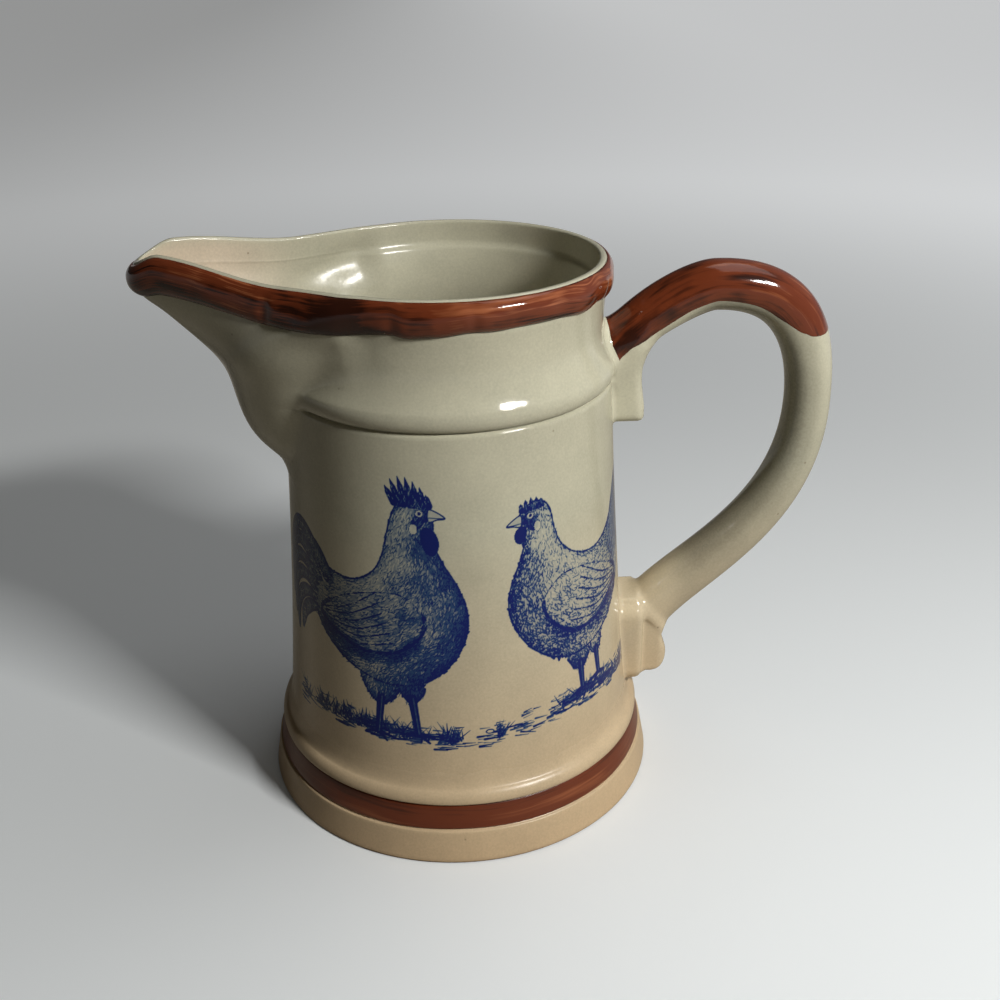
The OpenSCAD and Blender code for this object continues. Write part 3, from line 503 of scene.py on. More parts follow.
hen = {
    "place": -70.5, "faces": -1, "wash": 0.35, "combWidth": 0.9,
    "body": [[6, 106.8], [9.5, 108.6], [13.5, 107.5], [15.6, 104], [16.8, 98.5], [19.2, 92.8],
               [24, 88.3], [31, 85.6], [38, 85.6], [44, 88], [50, 93], [55, 98.5], [59.5, 103.5],
               [64.5, 102.5], [66, 96], [64.5, 87], [61, 78], [56, 70], [49.5, 63], [42, 57.5], [33, 54],
               [23.5, 53], [14.5, 55.5], [7, 61], [2, 68.5], [0, 76], [1, 83], [3.8, 89.5], [5.6, 95.5],
               [4.6, 100.5], [4, 104]],
    "wing": [[13, 77.5], [20, 82], [31, 81], [43, 76.5], [52.5, 70.5], [45, 65], [34, 61], [23.5, 61.5],
               [15.5, 66.5], [12, 72.5]],
    "thighs": [[[31, 57], [24, 59], [19.5, 55], [21, 50.5], [24, 47.5], [27, 47.5], [30.5, 51.5]],
               [[30, 56], [36, 56.5], [37, 52.5], [35, 49], [32.5, 49], [30, 52]]],
    "wattle": [[4.6, 101.5], [2.7, 99.6], [3, 96.8], [5, 96.1], [6.6, 98.4], [6.6, 101]],
    "combTips": [[5, 108.6], [6.6, 109.6], [8.5, 110], [10.4, 109.8], [12, 109]],
    "combBase": [[5.2, 106.4], [12.4, 107]],
    "beak": [[5, 104.9], [3.0, 104.4], [0.2, 102.3], [2.3, 102.0], [4.8, 101.6]],
    "eye": [8.2, 104.4], "lobe": [10.6, 100.6],
    "shanks": [[[25.5, 49], [26, 39.8]], [[33.8, 50], [34.4, 41]]],
    "toes": [[[26, 39.9], [20, 38.2]], [[26, 39.9], [22.6, 36.9]], [[26, 39.9], [30, 38.8]],
             [[34.4, 41], [28.6, 39.8]], [[34.4, 41], [31, 38.2]], [[34.4, 41], [38.2, 40]]],
    "tail": [[[44, 82], [50, 90], [55.5, 98], [60, 103]], [[45.5, 80.5], [52, 88], [58, 96], [63, 102]],
             [[47, 78.5], [54, 85.5], [60.5, 92], [65.4, 97.5]], [[48, 76], [55, 81.5], [60.5, 86], [65, 91]],
             [[48, 73.5], [54.5, 77], [59.5, 80.5], [63.5, 84]]],
}
# Which way the feathers lie on a bird that faces right: place, then direction
featherFlow = [[-14, 107, -0.3, -1], [-20, 101, -0.4, -1], [-13, 95, 0.1, -1], [-23, 92, -0.5, -1],
               [-8, 85, 0.1, -1], [-20, 84, -0.7, -0.9], [-4, 72, -0.3, -1], [-12, 62, -0.9, -0.8],
               [-24, 56, -1, -0.5], [-36, 84, -1, -0.5], [-48, 78, -1, 0.1], [-54, 80, -0.9, 0.6],
               [-30, 73, -1, -0.35], [-44, 68, -1, -0.3], [-38, 60, -1, 0.3], [-50, 68, -1, 0.5],
               [-27, 50, -0.2, -1], [-17, 50, -0.1, -1]]


# Smooth curve through points: cubic pieces whose slopes come from the points on both sides
def inkCurve(points, closed=False, steps=8):
    p = np.asarray(points, float)
    p = np.vstack([p[-1:], p, p[:2]]) if closed else np.vstack([2 * p[:1] - p[1:2], p, 2 * p[-1:] - p[-2:-1]])
    t = (np.arange(steps) / steps)[None, :, None]
    a, b, c, d = (p[k:len(p) - 3 + k, None] for k in range(4))
    square, cube = 2 * a - 5 * b + 4 * c - d, 3 * b - a - 3 * c + d
    curve = ((2 * b + (c - a) * t + square * t ** 2 + cube * t ** 3) / 2).reshape(-1, 2)
    return np.vstack([curve, curve[:1]]) if closed else np.vstack([curve, p[-2:-1]])


pixel = birdPrint["pixel"]
sheetLow, sheetHigh = (np.array([np.radians(birdPrint["degrees"][k]) * birdPrint["radius"],
                                 birdPrint["heights"][k]]) for k in (0, 1))
sheetSize = np.ceil((sheetHigh - sheetLow) / pixel).astype(int) + 1
sheetX = (sheetLow[0] + np.arange(sheetSize[0]) * pixel)[None, :]
sheetZ = (sheetLow[1] + np.arange(sheetSize[1]) * pixel)[:, None]
chance = np.random.default_rng(7)


# True inside a closed curve, by counting how often a level line from each point crosses it
def insideCurve(curve):
    inside = np.zeros((sheetSize[1], sheetSize[0]), bool)
    for (ax, az), (bx, bz) in zip(curve[:-1], curve[1:]):
        row = np.flatnonzero((az > sheetZ[:, 0]) != (bz > sheetZ[:, 0]))
        if len(row):
            inside[row] ^= sheetX < (ax + (sheetZ[row] - az) * (bx - ax) / (bz - az))
    return inside


# Many strokes at once: ink is full within half the stroke's width and falls off over one pixel; the width
# runs to its share `tip` at the end, and where strokes cross the darkest counts
def drawStrokes(sheet, starts, ends, halfWidth, ink=1.0, tip=1.0):
    starts, ends = np.atleast_2d(starts), np.atleast_2d(ends)
    halfWidth, ink = np.broadcast_to(halfWidth, len(starts)), np.broadcast_to(ink, len(starts))
    reach = int(np.ceil((np.abs(ends - starts).max() / 2 + halfWidth.max()) / pixel)) + 2
    offsets = np.arange(-reach, reach + 1)
    middle = np.round(((starts + ends) / 2 - sheetLow) / pixel).astype(int)
    batch = max(1, 3000000 // len(offsets) ** 2)
    for first in range(0, len(starts), batch):
        pick = np.s_[first:first + batch, None, None]
        column = middle[:, 0][pick] + offsets[None, None, :]
        row = middle[:, 1][pick] + offsets[None, :, None]
        x = sheetLow[0] + column * pixel - starts[:, 0][pick]
        z = sheetLow[1] + row * pixel - starts[:, 1][pick]
        alongX, alongZ = (ends - starts)[:, 0][pick], (ends - starts)[:, 1][pick]
        t = np.clip((x * alongX + z * alongZ) / np.maximum(alongX ** 2 + alongZ ** 2, 1e-6), 0, 1)
        half = halfWidth[pick] * (1 + (tip - 1) * t)
        cover = np.clip((half - np.hypot(x - t * alongX, z - t * alongZ)) / pixel + 0.5, 0, 1) * ink[pick]
        row, column = np.broadcast_arrays(row, column)
        good = (cover > 0) & (row >= 0) & (row < sheetSize[1]) & (column >= 0) & (column < sheetSize[0])
        np.maximum.at(sheet, (row[good], column[good]), cover[good])


# Strokes from each point of a curve to the next
def drawCurve(sheet, curve, halfWidth, ink=1.0):
    drawStrokes(sheet, curve[:-1], curve[1:], halfWidth, ink)


# Mean over a square window, taken twice, for soft shading
def softened(image, millimetres):
    n = max(1, int(millimetres / pixel))
    for axis in (0, 1, 0, 1):
        width = [(n + 1, n) if a == axis else (0, 0) for a in (0, 1)]
        sums = np.cumsum(np.pad(image.astype(float), width, mode="edge"), axis=axis)
        window, count = 2 * n + 1, sums.shape[axis]
        after, before = np.take(sums, range(window, count), axis), np.take(sums, range(count - window), axis)
        image = (after - before) / window
    return image


# Value of a sheet at points
def readSheet(sheet, p):
    k = np.clip(np.round((p - sheetLow) / pixel).astype(int), 0, sheetSize - 1)
    return sheet[k[:, 1], k[:, 0]]


# Direction that the feathers lie in: the mean of the table's arrows weighed by nearness, turned by chance
def featherWay(p, flow, loose=0.25):
    gap = ((p[:, None] - flow[None, :, :2]) ** 2).sum(-1)
    way = (flow[None, :, 2:] / (gap[..., None] + 6) ** 1.5).sum(1)
    turn = np.arctan2(way[:, 1], way[:, 0]) + chance.normal(0, loose, len(p))
    return np.stack([np.cos(turn), np.sin(turn)], -1)


# The directions turned a quarter to the left
def sideways(way):
    return np.stack([-way[:, 1], way[:, 0]], -1)


# Wash and shading inside a bird: dark below, under the wing, at the breast's edge and in loose patches, and
# pale on the back; returns the tone that its feathers follow
def drawShading(sheet, bird, inBody, inWing):
    near, far, wingSoft = softened(inBody, 1.8), softened(inBody, 6), softened(inWing, 1.4)
    slopeZ, slopeX = np.gradient(far, pixel)
    under = np.clip(softened(np.roll(inWing, -int(3.2 / pixel), axis=0), 1.3) - wingSoft, 0, 1)
    patches = softened(chance.normal(0, 1, inBody.shape), 1.6) * 9
    tone = (0.42 + 2.2 * slopeZ - 3.2 * slopeX * bird["faces"] + 0.75 * (1 - near) + 0.5 * under
            - 0.04 * wingSoft + 0.14 * patches)
    tone = np.clip(tone, 0.12, 1)
    np.maximum(sheet, inBody * bird["wash"] * (0.45 + 0.75 * tone), out=sheet)
    return tone


# Feathers: two dark strokes that nearly meet, and a pale fleck in between; then hatching in the dark parts
def drawFeathers(sheet, light, move, flow, tone, inBody, inWing):
    for spacing, mask in ((1.0, inBody & ~inWing), (1.2, inWing)):
        places = np.meshgrid(np.arange(-78, 78, spacing), np.arange(40, 114, spacing))
        p = np.stack(places, -1).reshape(-1, 2) + move
        p = p + chance.normal(0, spacing * 0.32, p.shape)
        p = p[(p[:, 0] > sheetLow[0]) & (p[:, 0] < sheetHigh[0])]
        p = p[readSheet(mask, p)]
        way, dark = featherWay(p, flow), readSheet(tone, p)
        cross, size = sideways(way), spacing * chance.uniform(0.6, 1.5, len(p))[:, None]
        for sign in (-1, 1):
            keep = chance.uniform(0, 1.25, len(p)) < 0.35 + dark
            start, end = p + cross * size * 0.42 * sign, p + way * size * 0.9 + cross * size * 0.05 * sign
            half, ink = 0.09 + 0.16 * dark, 0.72 + 0.28 * dark
            drawStrokes(sheet, start[keep], end[keep], half[keep], ink[keep], tip=1.2)
        keep = chance.uniform(0, 1, len(p)) < 1.25 - dark
        fleck = np.clip(1.3 - dark, 0.1, 1) * chance.uniform(0.3, 1, len(p))
        drawStrokes(light, (p - way * size * 0.5)[keep], (p + way * size * 0.6)[keep],
                    (0.05 + 0.13 * (1.1 - dark))[keep], fleck[keep], tip=0.5)
    p = np.stack([chance.uniform(a, b, birdPrint["hatches"]) for a, b in zip(sheetLow, sheetHigh)], -1)
    p = p[readSheet(inBody, p) & (chance.uniform(0.35, 1.15, len(p)) < readSheet(tone, p))]
    reach = featherWay(p, flow) * chance.uniform(0.8, 2.2, len(p))[:, None]
    drawStrokes(sheet, p, p + reach, 0.17, 0.95, tip=0.4)


# Long wing feathers from under the coverts to the wing's tip
def drawWing(sheet, light, wing):
    for share in np.linspace(0, 1, 7):
        start = wing[2] * (1 - share) + wing[7] * share + (wing[1] - wing[2]) * 0.2
        end = wing[4] + (wing[5] - wing[4]) * share + (wing[3] - wing[4]) * 0.12 * (1 - share)
        curve = inkCurve([start, (start + end) / 2 - [0, 1.6 + 1.2 * share], end])
        drawCurve(sheet, curve, 0.27)
        drawCurve(light, curve[2:-2] + [0.1, 0.7], 0.11, 0.35)


# Tail feathers: a dark band with barbs to both sides, a pale quill and dark edges
def drawTail(sheet, light, feathers, wash):
    barbs = 64
    for points in feathers[::-1]:
        curve = inkCurve(points, steps=14)
        t = np.linspace(0, 1, len(curve))
        way = np.gradient(curve, axis=0)
        way /= np.linalg.norm(way, axis=1, keepdims=True)
        half = 2.3 * np.sin(np.pi * (0.10 + 0.86 * t)) ** 0.7
        drawCurve(sheet, curve, half[:-1], wash + 0.12)
        s = np.linspace(0.03, 0.97, barbs)
        q, along = (np.stack([np.interp(s, t, values[:, k]) for k in (0, 1)], -1) for values in (curve, way))
        spread = np.interp(s, t, half)[:, None] * sideways(along)
        for sign in (-1, 1):
            out = spread * sign
            drawStrokes(sheet, q, q + along + out * 0.92, chance.uniform(0.09, 0.22, barbs), tip=0.7)
            drawStrokes(light, q + along * 0.35, q + along * 1.2 + out * 0.8, 0.14,
                        chance.uniform(0, 0.8, barbs), tip=0.5)
            drawCurve(sheet, curve + sideways(way) * sign * half[:, None], 0.24)
        drawCurve(light, curve[2:-3], 0.13, 0.6)


# Comb: spikes that stand on a bar, with pale specks
def drawComb(sheet, light, tips, base, width):
    foot = base[0] + (base[1] - base[0]) * np.linspace(0, 1, len(tips))[:, None]
    drawStrokes(sheet, foot, tips * 0.65 + foot * 0.35, width, tip=0.75)
    drawStrokes(sheet, tips * 0.6 + foot * 0.4, tips, width * 0.78, tip=0.15)
    drawStrokes(sheet, base[:1], base[1:], width)
    up = np.repeat(tips - foot, 5, axis=0)
    speck = np.repeat(foot, 5, axis=0) + up * chance.uniform(0.1, 0.75, (len(up), 1))
    speck += chance.normal(0, 0.35, (len(up), 2))
    drawStrokes(light, speck, speck + up * 0.1, 0.14, 0.7)


# Face, wattle, beak, lobe and eye
def drawFace(sheet, light, faces, eye, lobe, beak, beakLoop, wattleLoop):
    drawStrokes(sheet, eye + [0.6 * faces, -1.2], eye + [-faces, -3.2], 2.3, 0.95, tip=0.8)
    inWattle, inBeak = insideCurve(wattleLoop), insideCurve(beakLoop)
    light[inWattle | inBeak] = 0
    sheet[inWattle] = 0.98
    drawCurve(light, wattleLoop[6:27], 0.12, 0.5)
    sheet[inBeak] = 0.22
    drawCurve(sheet, beakLoop, 0.20)
    drawStrokes(sheet, beak[:1] - [0, 2.4], beak[2:3], 0.14)
    around = np.linspace(0, 2 * np.pi, 25)
    for centre, wide, tall in ((eye, 1.15, 0.95), (lobe, 1.2, 1.6)):
        light[((sheetX - centre[0, 0]) / wide) ** 2 + ((sheetZ - centre[0, 1]) / tall) ** 2 < 1] = 0.9
        drawCurve(sheet, centre + np.stack([wide * np.cos(around), tall * np.sin(around)], -1), 0.16)
    pupil = np.hypot(sheetX - eye[0, 0], sheetZ - eye[0, 1]) < 0.5
    sheet[pupil], light[pupil] = 1, 0


# A bird from its curves; `light` scratches the ink away again
def drawBird(sheet, light, bird):
    move, faces = np.array([bird["place"], birdPrint["raise"]]), bird["faces"]
    put = lambda points: np.asarray(points, float) + move
    loop = lambda points: inkCurve(put(points), closed=True)
    flow = np.array(featherFlow, float)
    flow[:, 2:] /= np.linalg.norm(flow[:, 2:], axis=1, keepdims=True)
    flow[:, [0, 2]] *= faces
    flow[:, :2] += move
    bodyLoop, wingLoop, thighLoops = loop(bird["body"]), loop(bird["wing"]), [loop(p) for p in bird["thighs"]]
    inTrunk, inWing = insideCurve(bodyLoop), insideCurve(wingLoop)
    inBody = np.logical_or.reduce([inTrunk, *(insideCurve(thigh) for thigh in thighLoops)])
    tone = drawShading(sheet, bird, inBody, inWing)
    drawFeathers(sheet, light, move, flow, tone, inBody, inWing)
    drawWing(sheet, light, put(bird["wing"]))
    # Outlines; heavier under the wing
    offTrunk = inWing | ~softened(inTrunk, 0.5).astype(bool)
    for curve, heavy in ((bodyLoop, 0), (wingLoop, 1), *((thigh, 0) for thigh in thighLoops)):
        below = curve[:-1, 1] < curve[:, 1].mean() + 3
        half = birdPrint["line"] * chance.uniform(0.6, 1.3, len(curve) - 1)
        half = half + heavy * np.where(below, 0.45, -0.12)
        shown = readSheet(offTrunk, curve[:-1]) | (curve is bodyLoop) | (heavy == 1)
        drawStrokes(sheet, curve[:-1][shown], curve[1:][shown], half[shown])
    drawTail(sheet, light, [put(points) for points in bird["tail"]], bird["wash"])
    drawComb(sheet, light, put(bird["combTips"]), put(bird["combBase"]), bird["combWidth"])
    drawFace(sheet, light, faces, put([bird["eye"]]), put([bird["lobe"]]), put(bird["beak"]),
             loop(bird["beak"]), loop(bird["wattle"]))
    # Legs with scales, and toes
    for start, end in bird["shanks"]:
        a, b = put([start]), put([end])
        drawStrokes(sheet, a, b, 1.45, 0.97, tip=0.72)
        drawStrokes(light, a + [0.35, 0], b + [0.25, 0], 0.16, 0.55)
        rungs = a + (b - a) * np.linspace(0.1, 0.95, 8)[:, None]
        drawStrokes(sheet, rungs - [0.9, 0.2], rungs + [0.9, -0.2], 0.13)
    for start, end in bird["toes"]:
        drawStrokes(sheet, put([start]), put([end]), 0.80, 0.97, tip=0.45)


# Ground: level dashes in clumps, tufts of grass, pebbles and a shadow under each bird
def drawGround(sheet):
    first, last = sheetLow[0] + 12, sheetHigh[0] - 4
    low, climb = birdPrint["ground"] + np.array([birdPrint["raise"], 0])
    level = lambda x: low + climb * ease((x + 95) / 60) + np.sin(x * 0.09)
    for count, below, above, long, half in ((480, -3, 4.5, 3.2, 0.22), (300, -3.4, 1, 5, 0.30)):
        x = chance.uniform(first, last, count)
        x = x[chance.uniform(0, 1, count) < 0.5 + 0.5 * np.sin(x * 0.55) + 0.35 * np.sin(x * 1.43 + 1)]
        p = np.stack([x, level(x) + chance.uniform(below, above, len(x))], -1)
        lean = np.stack([np.ones(len(x)), chance.normal(0, 0.24, len(x))], -1)
        drawStrokes(sheet, p - [long / 2, 0], p + lean * long / 2 * chance.uniform(0.3, 1, (len(x), 1)),
                    half * chance.uniform(0.6, 1.5, len(x)), chance.uniform(0.6, 1, len(x)), tip=0.4)
    # Tufts anywhere, and some by the birds' feet
    byFeet = [-112, -108, -104, -97, -92, -88, -47, -44, -36, -33, -9, -12]
    for x in np.concatenate([chance.uniform(first, last, 30), byFeet]):
        n = chance.integers(7, 13)
        foot = np.stack([x + chance.normal(0, 1.3, n), level(x) + chance.uniform(-1.5, 1.5, n)], -1)
        rise = chance.uniform(1.8, 5.2, n)
        drawStrokes(sheet, foot, foot + np.stack([chance.normal(0, 0.45, n) * rise, rise], -1),
                    chance.uniform(0.22, 0.42, n), chance.uniform(0.7, 1, n), tip=0.25)
    around = np.linspace(0, 2 * np.pi, 13)
    for x in chance.uniform(first, last, 20):
        wide, tall = chance.uniform(0.9, 2), chance.uniform(0.5, 0.9)
        centre = [x, level(x) + chance.uniform(-2.5, 2)]
        drawCurve(sheet, centre + np.stack([wide * np.cos(around), tall * np.sin(around)], -1), 0.20, 0.9)
    dashes = 110
    for bird, middle, wide in ((rooster, -21, 15), (hen, 31, 13)):
        x = bird["place"] + middle + chance.uniform(-wide, wide, dashes)
        p = np.stack([x, level(x) + 1.2 + chance.normal(0, 0.9, dashes)], -1)
        drawStrokes(sheet, p - [1.8, 0], p + [1.8, 0], 0.28, chance.uniform(0.75, 1, dashes), tip=0.3)


inkSheet, paleSheet = np.zeros((2, sheetSize[1], sheetSize[0]))
drawGround(inkSheet)
for bird in (rooster, hen):
    drawBird(inkSheet, paleSheet, bird)
inkSheet = inkSheet * (1 - birdPrint["scratch"] * paleSheet)

printPieces = []
for name, ends in birdPrint["sheets"].items():
    # Neighbouring sheets share the points where they meet
    first, last = np.round((np.radians(ends) * birdPrint["radius"] - sheetLow[0]) / pixel).astype(int)
    h, x = np.broadcast_arrays(sheetZ, sheetX[:, first:last + 1])
    wall = wallPoint(barrelRadius(h), h, -np.pi - x / birdPrint["radius"], 0)
    wall[..., :2] *= 1 + birdPrint["lift"] / np.linalg.norm(wall[..., :2], axis=-1, keepdims=True)
    sheet = makePiece(name, wall.reshape(-1, 3), gridFaces(*h.shape))
    addValue(sheet, "ink", inkSheet[:, first:last + 1])
    printPieces.append(sheet)
print("print", [len(sheet.data.polygons) for sheet in printPieces], "faces")

# handle: strap, tail, pad and scroll melted into one another and onto the wall
handle = {
    "topDrop": 11.4, "topOut": 83.6, "farOut": 115.6, "farDrop": 50.4, "upDrop": 29.0, "lowRise": 25.0,
    "upSeat": (2.5, 1.5), "lowSeat": 4.3,  # where the strap starts off the bead, and how far out it ends
    # How far the curve's handles stand off its corner points
    "upLead": (8.0, 8.5), "topLead": (6.0, 23.6), "farLead": (24.5, 42.0), "lowLead": (13.5, 16.5),
    "intoWall": 9.0, "intoPad": 1.5,  # straight runs at the strap's ends
    "width": 17.0, "thickness": 16.0, "tailOut": 10.0, "tailLong": 16.0, "tailRound": 3.0,
    "padWidth": 24.0, "padOut": 6.2, "padTall": 30.0, "padRise": 2.5, "padRound": 2.4, "padCorner": 5.0,
    "scrollRadius": 6.4, "scrollRound": 4.0, "scrollLean": 40.0, "scrollEdge": 1.3,
    "backShare": 0.50, "backPower": 1.0, "facePower": 0.75, "edgePower": 0.92,
    # How far the pieces run together
    "rootMelt": 3.2, "wallMelt": 1.4, "tailMelt": 7.0, "padMelt": 1.2, "scrollMelt": 3.0,
    "skirt": 3.8, "sunk": 0.8,  # how far its skin runs out onto the wall, and how deep it ends inside it
    "cell": 0.7,  # size of the cells that its surface is found in
    "rootLight": 0.13,  # painted light: how much lighter the tail and the pad are made
    "paintedShade": 0.45, "loopMiddle": (84.0, 0.0, 128.0),  # painted shade: how much darker the glaze is made on the loop's inner side
}
thickShares = [[0, 0.86], [0.5, 0.94], [1, 0.96], [1.5, 1.02], [2, 0.89], [3, 1.055]]
padLow = body["footHeight"] + handle["padRise"]
padTop = padLow + handle["padTall"]
upHeight = rimHeight - handle["upDrop"]
lowHeight = padLow + handle["lowRise"]
lowOut = barrelRadius(lowHeight) + handle["padOut"] + handle["lowSeat"]
topPoint = np.array([handle["topOut"], rimHeight - handle["topDrop"]])
farPoint = np.array([handle["farOut"], rimHeight - handle["farDrop"]])
upPoint = np.array([body["beadRadius"], upHeight]) + handle["upSeat"]
lowPoint = np.array([lowOut, lowHeight])
leadSteps, endSteps = 9, 5  # points of the straight runs


# Cubic curve in the plane of the spout: corner points weighted by (1-t)^3, 3t(1-t)^2, 3t^2(1-t) and t^3
def cubicCurve(corners, steps):
    t = np.linspace(0, 1, steps + 1)[:, None]
    p = np.asarray(corners, float)
    return (1 - t) ** 3 * p[0] + 3 * t * (1 - t) ** 2 * p[1] + 3 * t * t * (1 - t) * p[2] + t ** 3 * p[3]


# Points past p on the line that comes from q, at the given distances
def runOn(p, q, distances):
    return p + (p - q) / np.linalg.norm(p - q) * distances[:, None]


# Middle line of the strap with its place, which counts the curves; a straight run leads into the wall
# at one end and into the pad at the other
def strapLine(steps=70):
    (topIn, topOn), (farIn, farOn) = handle["topLead"], handle["farLead"]
    up = cubicCurve([upPoint, upPoint + handle["upLead"], topPoint - [topIn, 0], topPoint], steps)
    over = cubicCurve([topPoint, topPoint + [topOn, 0], farPoint + [0, farIn], farPoint], steps)
    down = cubicCurve([farPoint, farPoint - [0, farOn], lowPoint + handle["lowLead"], lowPoint], steps)
    before = runOn(up[0], up[1], np.linspace(handle["intoWall"], 0, leadSteps + 1)[:-1])
    after = runOn(down[-1], down[-2], np.linspace(0, handle["intoPad"], endSteps + 1)[1:])
    line = np.vstack([before, up[:-1], over[:-1], down, after])
    place = np.concatenate([np.zeros(leadSteps), np.arange(3 * steps + 1) / steps, np.full(endSteps, 3.0)])
    return line, place


strapPoints, strapPlaces = strapLine()


# Place along the strap, distance off its middle line towards the back, and how far past its ends a point lies
def nearStrap(x, z):
    shape = np.broadcast_shapes(np.shape(x), np.shape(z))
    q = np.stack([np.broadcast_to(x, shape).ravel(), np.broadcast_to(z, shape).ravel()], -1)
    p, d = strapPoints[:-1], np.diff(strapPoints, axis=0)
    run = (d * d).sum(-1)
    place, off, over = np.empty((3, len(q)))
    batch = 20000
    for start in range(0, len(q), batch):
        part = q[start:start + batch]
        fromX, fromZ = part[:, None, 0] - p[:, 0], part[:, None, 1] - p[:, 1]
        t = (fromX * d[:, 0] + fromZ * d[:, 1]) / run
        c = np.clip(t, 0, 1)
        gap = (fromX - c * d[:, 0]) ** 2 + (fromZ - c * d[:, 1]) ** 2
        i, k = np.arange(len(part)), gap.argmin(1)
        side = (d[k, 0] * (part[:, 1] - p[k, 1]) - d[k, 1] * (part[:, 0] - p[k, 0])) / np.sqrt(run[k])
        place[start:start + batch] = strapPlaces[k] + (strapPlaces[k + 1] - strapPlaces[k]) * c[i, k]
        off[start:start + batch] = side
        end = ((k == 0) & (t[i, k] < 0)) | ((k == len(d) - 1) & (t[i, k] > 1))
        over[start:start + batch] = np.where(end, np.sqrt(np.maximum(gap[i, k] - side * side, 0)), -99)
    return place.reshape(shape), off.reshape(shape), over.reshape(shape)


# Distance to the strap's section, measured from its widest line: |y/w|^a + |off/t|^b = 1, deep on the back
# and flatter on the face to the fingers
def sectionDistance(y, off, place):
    wide = handle["width"] / 2
    whole = handle["thickness"] * smoothTable(place, thickShares)
    off = off + whole * (handle["backShare"] - 0.5)
    off = np.where(np.abs(off) < 0.01, 0.01, off)
    thick = whole * np.where(off > 0, handle["backShare"], 1 - handle["backShare"])
    a, b = 2 / handle["edgePower"], np.where(off > 0, 2 / handle["backPower"], 2 / handle["facePower"])
    ua, vb = (np.abs(y) / wide) ** a, (np.abs(off) / thick) ** b
    grow = np.log(np.sqrt((y / wide) ** 2 + (off / thick) ** 2))
    # Newton's steps to the growth that lifts the outline to the point
    for turn in range(4):
        u, v = ua * np.exp(-a * grow), vb * np.exp(-b * grow)
        grow = grow + np.clip((u + v - 1) / (a * u + b * v), -0.5, 0.5)
    return np.hypot(y, off) * (1 - np.exp(-grow))


# Signed distance to an outline of straight edges, below 0 inside
def outlineDistance(x, z, outline):
    near = np.full(np.broadcast_shapes(np.shape(x), np.shape(z)), 1e9)
    inside = np.zeros(near.shape, bool)
    for (ax, az), (bx, bz) in zip(outline, np.roll(outline, -1, axis=0)):
        ex, ez = bx - ax, bz - az
        t = np.clip(((x - ax) * ex + (z - az) * ez) / (ex * ex + ez * ez), 0, 1)
        near = np.minimum(near, np.hypot(x - ax - t * ex, z - az - t * ez))
        if abs(ez) > 1e-9:
            inside ^= ((az > z) != (bz > z)) & (x < ex * (z - az) / ez + ax)
    return np.where(inside, -near, near)


# Two signed distances joined with a round edge of radius r
def roundEdge(a, b, r):
    a, b = a + r, b + r
    return np.minimum(np.maximum(a, b), 0) + np.hypot(np.maximum(a, 0), np.maximum(b, 0)) - r


# Heights and radii of the outside from the foot up, in order of height
upWall = outside[outside[:, 1] >= body["roundBelow"]]
upWall = upWall[np.argsort(upWall[:, 1], kind="stable")]


# Distance off the pitcher's wall, unevenness and all, away from the spout
def wallDistance(x, y, z):
    return np.hypot(x, y) - np.interp(z, upWall[:, 1], upWall[:, 0]) - unevenWall(z, np.arctan2(y, -x))


# Outlines of the tail and the scroll from the side; both start inside the wall
withinWall = 40
tailLow = shoulderHeight - handle["tailLong"]
tailEdge = body["shoulderRadius"] + handle["tailOut"]
tailOutline = [[withinWall, tailLow], [tailEdge - 1.6, tailLow], [tailEdge - 0.4, tailLow + 0.4],
               [tailEdge + 0.2, tailLow + 1.5], [tailEdge + 0.2, tailLow + 5], [tailEdge - 0.7, tailLow + 12],
               [tailEdge - 1.1, tailLow + 18], [tailEdge - 0.5, upHeight], [tailEdge - 3, upHeight + 4],
               [withinWall, upHeight + 4]]
padEdge = barrelRadius(padLow) + handle["padOut"] - 1.5
lean = np.radians(handle["scrollLean"])
reach = handle["thickness"] / 2 * thickShares[-1][1]
faceTop = lowPoint + reach * np.array([-np.sin(lean), np.cos(lean)])
faceLow = lowPoint - (reach - 1.5) * np.array([-np.sin(lean), np.cos(lean)])
scrollX = lowOut + np.sin(lean) * reach - handle["scrollRadius"] + 0.5
scrollZ = padLow + handle["scrollRadius"] + 2
scrollOutline = np.vstack([[[withinWall, faceTop[1]], faceTop, faceLow, faceLow - [0.9, 3.6]],
                           arcPoints(scrollX, scrollZ, handle["scrollRadius"], np.degrees(lean), -100, 15),
                           [[padEdge - 2, padLow], [withinWall, padLow]]])


# Signed distance to the whole handle
def handleField(x, y, z):
    place, off, over = nearStrap(x, z)
    wide, half = np.abs(y), handle["width"] / 2
    strap = np.maximum(sectionDistance(y, off, place), over)
    tail = roundEdge(outlineDistance(x, z, tailOutline), wide - half + 1, handle["tailRound"])
    padEnds = np.abs(z - (padLow + padTop) / 2) - handle["padTall"] / 2
    padFace = roundEdge(padEnds, wide - handle["padWidth"] / 2, handle["padCorner"])
    pad = roundEdge(padFace, x - padEdge, handle["padRound"])
    scrollSide = roundEdge(x - scrollX - handle["scrollRadius"], wide - half, handle["scrollRound"])
    scroll = roundEdge(outlineDistance(x, z, scrollOutline), scrollSide, handle["scrollEdge"])
    whole = meld(strap, tail, handle["tailMelt"])
    return meld(whole, meld(pad, scroll, handle["padMelt"]), handle["scrollMelt"])


# Below 0 inside the handle and a thin skin that runs out onto the wall round its roots
def handleSkin(x, y, z):
    whole, wall = handleField(x, y, z), wallDistance(x, y, z)
    melt = handle["wallMelt"] + (handle["rootMelt"] - handle["wallMelt"]) * ease((z - shoulderHeight) / 8)
    skin = np.maximum(meld(whole, wall + 0.05, melt), -(wall + handle["sunk"]))
    return np.maximum(skin, whole - handle["skirt"])


